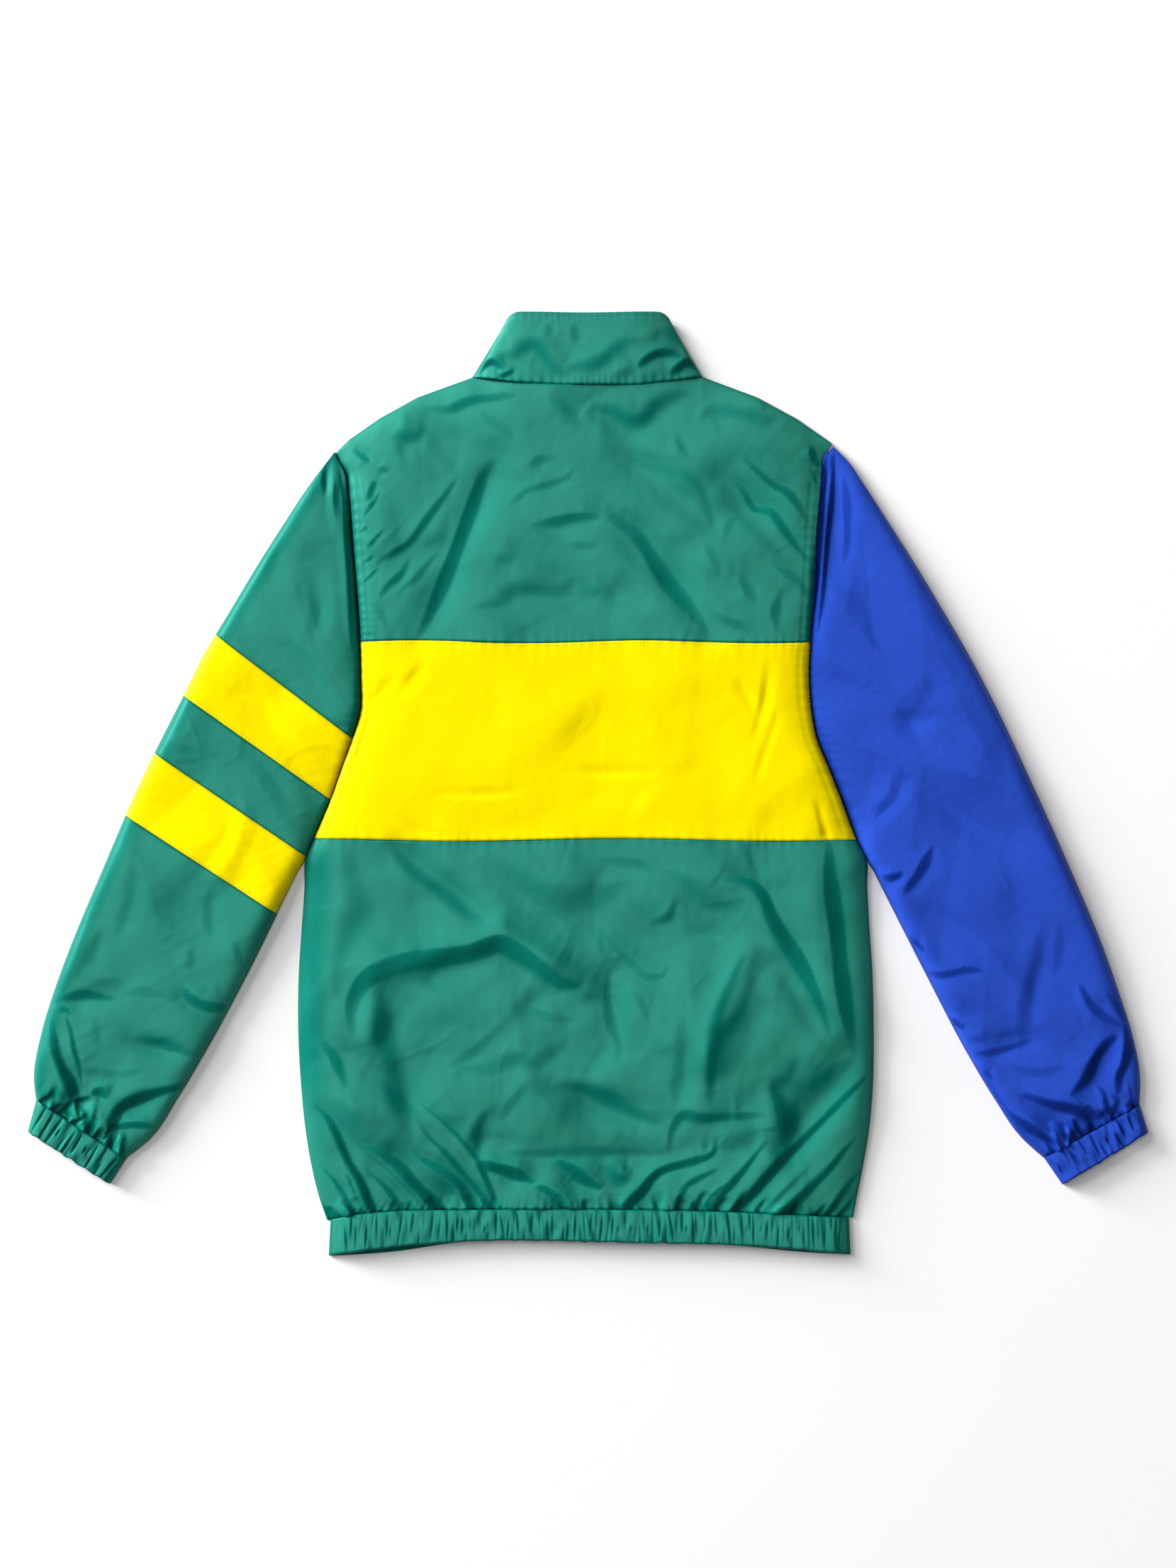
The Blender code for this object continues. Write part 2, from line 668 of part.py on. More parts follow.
def sleeve_point(side, station, v, closed):
    """A point of a sleeve's outer face."""
    outer, inner, full = sleeve_section(side, v)
    width = float(numpy.linalg.norm(outer - inner))
    toward = (outer - inner) / width
    shift = station.shift * min(1.0, width / 70.0)
    spot = inner + (outer - inner) * station.across + toward * shift
    if station.level < 1:
        return spot[0], spot[1], station.level * FOLD_HEIGHT
    from_inner = station.across * width + shift
    from_outer = width - from_inner
    base = full - (full - FOLD_HEIGHT) * math.exp(-from_outer / SLEEVE_FALL)
    if closed:
        base -= (base - FOLD_HEIGHT) * math.exp(-from_inner / SLEEVE_FALL)
    else:
        edge = body_rise(spot[1] if from_inner < 1 else inner[1])
        base -= (base - edge) * math.exp(-from_inner / SLEEVE_MOUTH_FALL)
    fade = 1 - math.exp(-min(from_inner, from_outer) / 14.0)
    height = base + fold_rise(spot[0], spot[1]) * fade
    return spot[0], spot[1], max(height, FOLD_HEIGHT)


def seam_share(side, section, toward):
    """Half a seam as a share of the way from a section to the next one toward it."""
    here, _, _ = sleeve_section(side, section)
    there, _, _ = sleeve_section(side, section + toward)
    return SLEEVE_SEAM_HALF / float(numpy.linalg.norm(there - here))


def make_sleeve_piece(name, colour, side, first, last, rows):
    """Part of a sleeve between two of its sections."""
    gap_first = 0.0 if first == 0 else seam_share(side, first, 1)
    gap_last = seam_share(side, last, -1)
    columns = len(sleeve_stations(True)) - 1

    def place(i, j):
        v = (last - gap_last) + (first + gap_first - last + gap_last) * j / rows
        closed = v >= UNDERARM_SECTION
        order = i if side < 0 else columns - i
        return sleeve_point(side, sleeve_stations(closed)[order], v, closed)

    return make_sheet(name, colour, columns, rows, place)


# -------------------------------------------------------------------- zip

def make_tape(name, side):
    """A zip tape beside the centre line, from the hem to the collar's top."""
    heights = spread(-387.0, 262.0, 5) + spread(270.0, 354.0, 13)
    columns = 2
    rows = len(heights) - 1

    def place(i, j):
        y = heights[j]
        inner = TAPE_INNER
        if y > SLIDER_Y:
            inner = TAPE_FORK
        near, far = (TAPE_OUTER, inner) if side < 0 else (inner, TAPE_OUTER)
        x = side * (near + (far - near) * i / columns)
        return x, y, WALL + tab_lift(0.0, y)

    return make_sheet(name, "green", columns, rows, place)


def make_box(name, size, centre, bevel=0.0, collection=None):
    """A box in millimetres with rounded edges."""
    bpy.ops.mesh.primitive_cube_add(size=1.0)
    box = bpy.context.object
    box.name = name
    box.data.name = name
    for vertex in box.data.vertices:
        vertex.co = [axis * length * MM for axis, length in zip(vertex.co, size)]
    box.location = [value * MM for value in centre]
    if bevel:
        edges = box.modifiers.new("rounding", "BEVEL")
        edges.width = bevel * MM
        edges.segments = 2
        edges.limit_method = "ANGLE"
    move_to(collection or PARTS, box)
    return box


def add_tool(target, tool, operation="UNION"):
    """Fuse a tool into a part, or cut it out."""
    tool.hide_render = True
    tool.display_type = "WIRE"
    step = target.modifiers.new(tool.name, "BOOLEAN")
    step.object = tool
    step.operation = operation
    step.solver = "EXACT"


def make_slider():
    """Two plates joined by a post between the tapes, and a bridge below."""
    floor = tab_lift(0.0, SLIDER_Y)
    slider = make_box("zip_slider", (8.0, 12.0, 0.9), (0, SLIDER_Y, floor - 0.95), 0.25)
    add_tool(slider, make_box("slider_top", (8.0, 12.0, 0.9),
                              (0, SLIDER_Y, floor + WALL + 0.95), 0.0, TOOLS))
    add_tool(slider, make_box("slider_post", (1.8, 4.0, 3.2),
                              (0, SLIDER_Y + 3.8, floor + 0.6), 0.0, TOOLS))
    for end in (-1, 1):
        add_tool(slider, make_box("bridge_foot_%d" % (end + 2), (1.8, 1.2, 2.2),
                                  (0, SLIDER_Y + end * 3.6, floor - 2.2), 0.0, TOOLS))
    add_tool(slider, make_box("bridge_bar", (1.8, 8.4, 0.7),
                              (0, SLIDER_Y, floor - 3.15), 0.0, TOOLS))
    slider.data.materials.append(make_material("zip_slider", "metal"))
    return slider


def make_pull():
    """The pull tab: a plate with two stepped arms on a pin through the bridge."""
    pin_z = tab_lift(0.0, SLIDER_Y) - 2.1
    cheek_top = pin_z + 0.35
    plate_z = 0.6
    pull = make_box("zip_pull", (6.0, PULL_LENGTH - 7.0, 1.1),
                    (0, SLIDER_Y - 7.0 - (PULL_LENGTH - 7.0) / 2, plate_z), 0.3)
    for side in (-1, 1):
        add_tool(pull, make_box("pull_arm_%d" % (side + 2), (1.0, 4.8, 1.1),
                                (side * 2.3, SLIDER_Y - 5.7, plate_z + 0.2), 0.0, TOOLS))
        add_tool(pull, make_box("pull_step_%d" % (side + 2), (0.9, 1.0, cheek_top - plate_z - 0.1),
                                (side * 2.3, SLIDER_Y - 3.9, (cheek_top + plate_z) / 2),
                                0.0, TOOLS))
        add_tool(pull, make_box("pull_cheek_%d" % (side + 2), (1.0, 5.05, 0.7),
                                (side * 2.3, SLIDER_Y - 1.975, pin_z), 0.0, TOOLS))
    bpy.ops.mesh.primitive_cylinder_add(vertices=16, radius=0.35 * MM, depth=5.0 * MM)
    pin = bpy.context.object
    pin.name = "pull_pin"
    pin.rotation_euler = (0, math.pi / 2, 0)
    pin.location = (0, SLIDER_Y * MM, pin_z * MM)
    move_to(TOOLS, pin)
    add_tool(pull, pin)
    pull.data.materials.append(make_material("zip_pull", "metal"))
    return pull


PARTS, TOOLS = start_scene()

make_back_piece("back_upper", "green", 28, 14, band_top_y, top_y)
make_back_piece("back_band", "yellow", 28, 9, band_bottom_y, band_top_y)
make_back_piece("back_lower", "green", 28, 19, hem_seam, band_bottom_y)
make_front("front_left", -1)
make_front("front_right", 1)
for sleeve_piece in SLEEVE_PIECES:
    make_sleeve_piece(*sleeve_piece)
make_cuff("cuff_left", "green", -1)
make_cuff("cuff_right", "blue", 1)
make_collar()
make_hem_band()
make_tape("zip_tape_left", -1)
make_tape("zip_tape_right", 1)
make_slider()
make_pull()
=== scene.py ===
"""Looks of the track jacket: cloth shells, creases, gathers, sewing, zip and light.

Sizes are in millimetres and become metres in the meshes. +X is the wearer's
right, +Y is towards the collar, +Z is up. The jacket lies on its front.
"""

import math
from collections import namedtuple

import bpy
import numpy as np
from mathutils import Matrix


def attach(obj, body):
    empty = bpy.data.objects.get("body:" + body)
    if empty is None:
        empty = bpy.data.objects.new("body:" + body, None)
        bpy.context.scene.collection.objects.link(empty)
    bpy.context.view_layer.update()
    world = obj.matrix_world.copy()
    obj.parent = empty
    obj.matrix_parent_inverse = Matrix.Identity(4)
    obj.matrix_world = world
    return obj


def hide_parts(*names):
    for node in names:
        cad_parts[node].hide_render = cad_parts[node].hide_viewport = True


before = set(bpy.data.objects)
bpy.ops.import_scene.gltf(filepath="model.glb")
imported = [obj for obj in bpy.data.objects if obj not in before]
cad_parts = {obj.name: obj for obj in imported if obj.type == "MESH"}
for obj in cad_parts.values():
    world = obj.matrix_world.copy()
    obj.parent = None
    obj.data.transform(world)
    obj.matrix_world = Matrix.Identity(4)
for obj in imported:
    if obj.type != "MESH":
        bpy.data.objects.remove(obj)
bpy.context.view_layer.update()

MM = 0.001
BODY = "jacket"

# Cloth and seams
CLOTH = 0.6
FLAT_CLOTH = 0.7
SEAM = 0.05
GROOVE = 0.5
GROOVE_WIDTH = 0.8
SLIT = 3.4
SLIT_WIDTH = 1.3
EDGE_LOW = 1.5
FOLD_HEIGHT = 3.8
FOLD_ROUND = ((4.0, 0.0), (2.2, 0.03), (1.2, 0.1), (0.5, 0.22), (0.1, 0.4), (0.0, 0.55),
              (0.1, 0.72), (0.45, 0.9))

# Heights of the upper layer, and how far from its edges it comes down to them
BODY_REACH = 13.0
TOP_REACH = 22.0
SLEEVE_REACH = 3.8
SLEEVE_MOUTH_REACH = 30.0
COLLAR_HEIGHT = 13.0
CUFF_HEIGHT = 8.6
HEM_HEIGHT = 9.4

# The hem band's ends at its seam, how much it widens below, and its middle and width
# where the zip divides it
HEM_LEFT = -218.1
HEM_RIGHT = 220.9
HEM_FLARE = 1.5
HEM_MIDDLE = 0.4968
HEM_SPAN = 436.0

# The collar's upper edge, and the radius of its corners
COLLAR_TOP_LEFT = -70.5
COLLAR_TOP_RIGHT = 71.1
COLLAR_TOP_Y = 399.8
COLLAR_CORNER = 13.0

# Gathers
HEM_PITCH = 7.4
CUFF_PITCH = 6.6
HEM_RELIEF = 0.76
CUFF_RELIEF = 1.5
HEM_TUCK = 3.0
CUFF_TUCK = 3.2

FACET_RISE = 0.95
FALL_SLOPE = 0.75
SOFT_BOTH = 0.85
CREASE_SPAN = 1.9
FROM_LIGHT = (0.8, -0.6)

# Pitches of the nylon's threads, in metres
WARP_PITCH = 0.00062
WEFT_PITCH = 0.0007

# Painted shade where the cloth leans from level, more so away from the light, and deeper painted
# shade on steep slopes: sines of the angles where that starts and ends
LEAN_START = 0.03
LEAN_FULL = 0.25
LEAN_SHADE_SHARE = 0.95
STEEP_START = 0.32
STEEP_FULL = 0.62
DEEP_SHADE_SHARE = 0.42
# Painted shade along the left edges, which face the light
LEFT_EDGE_PAINTED_SHADE = 0.24

# Zip
ZIP_LOW = -387.0
ZIP_HIGH = 354.0
TAPE_INNER = 0.3
TAPE_OUTER = 6.2
TAPE_FORK = 1.5
FRONT_EDGE = 6.5
SLIDER_Y = 338.0
TOOTH_PITCH = 2.5
LIFT_HEIGHT = 4.5
LIFT_Y = 336.0
LIFT_RADIUS = 72.0

# Sewing
STITCH_LENGTH = 2.1
STITCH_PITCH = 3.1
STITCH_WIDTH = 0.42
STITCH_INSET = 1.9
COLLAR_STITCH_INSET = 3.2


def table(columns, *rows):
    """Rows of values with named columns."""
    kind = namedtuple("Row", columns)
    return [kind(*row) for row in rows]


# The body's edges: the armhole seam down to the underarm, then the side seam
BODY_EDGES = table("y left right rise",
    (288.6, -215.7, 206.7, 4.2), (276.6, -213.3, 199.5, 4.8), (264.6, -206.1, 198.3, 6.0),
    (243.6, -202.5, 196.5, 8.0), (207.6, -199.5, 193.5, 9.4), (165.6, -195.9, 191.7, 10.2),
    (120.6, -192.9, 188.7, 10.6), (90.6, -192.3, 187.5, 10.6), (59.4, -192.9, 189.9, 10.2),
    (38.4, -199.5, 194.1, 9.8), (13.8, -208.5, 204.3, 9.0), (-13.2, -218.1, 215.1, 7.8),
    (-48.0, -233.1, 228.3, 5.4), (-64.8, -239.7, 236.1, 4.4), (-86.4, -240.3, 236.7, 3.2),
    (-122.4, -242.7, 238.5, 3.0), (-158.4, -245.1, 240.9, 3.0), (-206.4, -245.7, 242.1, 3.0),
    (-254.4, -243.3, 241.5, 3.0), (-290.4, -239.7, 238.5, 3.0), (-326.4, -233.7, 232.5, 3.0),
    (-350.4, -227.7, 227.7, 3.0), (-369.6, -221.1, 224.1, 3.0))

# How high the back puffs up down its middle
BODY_HEIGHTS = table("y height",
    (345.0, 13.0), (280.0, 14.0), (200.0, 15.0), (60.0, 15.0), (-120.0, 14.0), (-280.0, 13.5),
    (-340.0, 11.0), (-369.6, 9.4))

# Where the armhole seam starts at the underarm and ends at the shoulder
ARMHOLE_LOW = -62.0
ARMHOLE_HIGH = 284.0

# Shoulder and neck line
NECK_LEFT = -97.5
NECK_RIGHT = 96.3
FRONT_NECK_Y = 298.0
FRONT_NECK_SLOPE = 1.7
TOP_LINE = table("x y rise",
    (-215.7, 278.4, 3.0), (-202.5, 291.6, 3.0), (-176.7, 309.6, 3.0), (-144.3, 327.6, 3.0),
    (-97.5, 344.6, 4.0), (-61.5, 339.6, 10.5), (-23.1, 337.5, 13.0), (42.3, 337.5, 13.0),
    (72.9, 341.0, 9.5), (96.3, 345.2, 4.0), (143.7, 327.6, 3.0), (176.7, 309.6, 3.0),
    (206.7, 288.6, 3.0))

# Cross band seams on the back
BAND_TOP = 120.0
BAND_BOTTOM = -47.0
BAND_WAVE = 1.2

# The hem band's seam, and its edge on the back and on the front
HEM_LINES = table("x seam back_edge front_edge",
    (-221.1, -369.6, -399.6, -399.8), (-200.1, -364.8, -396.6, -399.0),
    (-162.3, -360.9, -391.6, -396.0), (-114.3, -360.0, -387.6, -389.0),
    (42.3, -360.0, -388.2, -388.2), (122.7, -361.8, -390.0, -391.0),
    (186.9, -364.8, -394.8, -397.0), (224.7, -367.2, -398.6, -398.8))

# Sleeve outline, read down its outer fold and its inner fold
SLEEVE_OUTER = table("y left right",
    (285.6, -211.0, 207.9), (273.6, -220.5, 219.9), (255.6, -234.3, 232.5), (219.6, -258.3, 255.9),
    (183.6, -281.1, 278.7), (147.6, -302.7, 300.3), (111.6, -324.3, 321.3), (75.6, -342.3, 340.5),
    (3.6, -378.3, 374.7), (-68.4, -409.5, 407.1), (-140.4, -439.5, 437.1), (-176.4, -452.7, 449.7),
    (-212.4, -463.5, 461.1), (-248.4, -469.5, 467.7), (-271.2, -467.1, 467.1))
SLEEVE_INNER = table("y left right",
    (-64.8, -240.9, 237.3), (-86.4, -251.7, 248.1), (-158.4, -287.1, 284.7),
    (-230.4, -326.1, 322.5), (-266.4, -347.7, 344.1), (-302.4, -372.9, 369.9),
    (-316.8, -390.9, 386.1))

# Sections across the sleeve, from the shoulder to the cuff seam
SLEEVE_SECTIONS = table("outer_y inner_y height",
    (273.6, 267.6, 5.5), (247.2, 222.6, 9.5), (212.4, 170.4, 12.0), (172.8, 114.6, 13.0),
    (149.4, 72.6, 13.0), (126.6, 38.4, 13.0), (100.8, 12.0, 13.0), (75.0, -13.2, 13.0),
    (50.4, -35.4, 13.0), (26.4, -61.0, 13.0), (0.0, -86.4, 13.0), (-26.4, -109.8, 13.0),
    (-73.2, -146.4, 13.0), (-106.2, -174.0, 13.0), (-140.4, -202.2, 12.5), (-173.4, -226.2, 12.5),
    (-203.4, -253.2, 12.0), (-230.4, -279.6, 11.5), (-250.8, -301.8, 10.5), (-267.0, -316.8, 8.6))
UNDERARM_SECTION = 9
LAST_SECTION = len(SLEEVE_SECTIONS) - 1
HEAD_RISES = {-1: 7.5, 1: 12.0}
CUFF_SLANT = 4.1

# A cuff from its seam (outer, inner) to its opening (outer, inner)
Cuff = namedtuple("Cuff", "seam_outer seam_inner open_outer open_inner")
CUFFS = {
    -1: Cuff((-467.1, -267.0), (-390.9, -316.8), (-474.3, -294.0), (-404.7, -338.4)),
    1: Cuff((467.1, -271.2), (386.1, -316.2), (474.4, -294.6), (401.7, -339.0)),
}

# Large folds of the upper layer: a ridge rises, a trough has a negative rise
FOLDS = table("x0 y0 x1 y1 width rise",
    (-157, -58, -75, -124, 15, -2.6), (-177, -163, -75, -126, 13, 3.0),
    (-75, -126, -1, -168, 13, 3.0), (136, -139, 104, -227, 13, 3.0),
    (104, -227, 90, -278, 13, 2.4), (165, -152, 211, -220, 13, -2.8),
    (204, -51, 211, -152, 13, -2.6), (211, -152, 228, -227, 12, -2.6),
    (226, -232, 165, -308, 12, -3.0), (-30, -256, 71, -287, 13, -2.4),
    (-180, -165, -188, -233, 12, 2.4), (-188, -235, -98, -308, 12, -2.6),
    (-232, -269, -193, -305, 12, -2.0), (19, -164, 19, -227, 13, -2.2),
    (-74, -311, 68, -313, 12, -2.0), (214, -268, 132, -355, 12, -2.6),
    (-74, 274, -105, 219, 15, -2.4), (-105, 219, -141, 127, 15, -2.6),
    (12, 234, 69, 170, 13, -2.2), (69, 170, 102, 126, 13, -2.2), (30, 282, 102, 223, 13, -2.0),
    (115, 258, 186, 184, 13, -2.4), (12, 318, 81, 303, 16, -2.0), (-182, 184, -124, 200, 12, -2.0),
    (-440, -184, -399, -176, 10, -2.0), (-340, -228, -384, -218, 10, -2.0),
    (-402, -278, -356, -262, 10, -2.0), (212, 262, 210, 179, 10, -2.0),
    (334, -224, 372, -218, 10, -2.0), (447, -216, 420, -260, 10, -2.0),
    (374, -268, 423, -288, 10, -2.0))

# Creases: how wide and high, a path, how far it leans, and whether it runs on
# at its last point (1) or fades there too (0)
Crease = namedtuple("Crease", "path width rise lean end")


def crease(width, rise, *path, lean=0, end=0):
    return Crease(path, width, rise, lean, end)


BAND_CREASES = [
    crease(4.8, -1.5, (-136, 104), (-150, 86), (-161, 73), lean=0.2),
    crease(3.6, -1.5, (-162, 91), (-176, 76), (-189, 60)),
    crease(3, -2.7, (-183, 64), (-190, 40), (-198, 10), lean=0.3),
    crease(3, -1.3, (-132, -8), (-93, -9), (-54, -7), lean=0.3),
    crease(3, -1.1, (-161, -28), (-138, -40), (-112, -44)),
    crease(3.6, -1.3, (-22, 13), (18, 9), (62, 11), lean=0.2),
    crease(3.6, -1.7, (153, 106), (149, 70), (139, 32), lean=0.2),
    crease(3.6, -1.3, (123, 89), (135, 73), (142, 52)),
    crease(3, -1.1, (162, 64), (150, 28), (140, -2)),
    crease(2.4, -2.5, (192, -11), (196, -26), (200, -43), lean=0.3, end=1),
    crease(1.8, -2.7, (184, 118), (186, 88), (188, 59), lean=0.2),
    crease(1.8, -1.9, (-190, 121), (-189, 97), (-189, 71)),
    crease(2.4, -1.3, (-211, 4), (-206, -14), (-208, -32)),
]
LEFT_SLEEVE_CREASES = [
    crease(6, -1.2, (-294, 34), (-264, 4), (-246, -26)),
    crease(5.4, -1.2, (-261, 124), (-234, 94), (-216, 58)),
    crease(6, 1, (-288, -8), (-294, -44), (-312, -80)),
    crease(2.4, -2.7, (-220, 280), (-222, 260), (-220, 244), lean=0.2),
    crease(3, 1.7, (-212, 274), (-216, 244), (-211, 208)),
    crease(7.2, -1.4, (-240, 244), (-258, 208), (-270, 160), lean=0.2),
    crease(5.4, -1.2, (-231, 184), (-225, 148), (-234, 112)),
    crease(2.4, -1.7, (-249, -65), (-246, -80), (-259, -106), lean=0.3),
]
RIGHT_SLEEVE_CREASES = [
    crease(4.8, -1.7, (237, -35), (260, -14), (267, 10)),
    crease(8.4, -1.2, (300, 88), (276, 58), (260, 40)),
    crease(6, -1, (246, 58), (276, 52), (306, 61)),
    crease(9.6, -1.2, (258, 244), (282, 196), (294, 148)),
]

# Falls: where the cloth drops across a path, away from the light. Each has how wide it
# drops, how steeply, how soft its lower edge is (the softer that is, the crisper its upper
# edge, but past SOFT_BOTH both are soft), its path, and whether it runs on at its last
# point (1) or fades there too (0)
Fall = namedtuple("Fall", "path width slope soft end")


def fall(width, slope, soft, *path, end=0):
    return Fall(path, width, slope, soft, end)


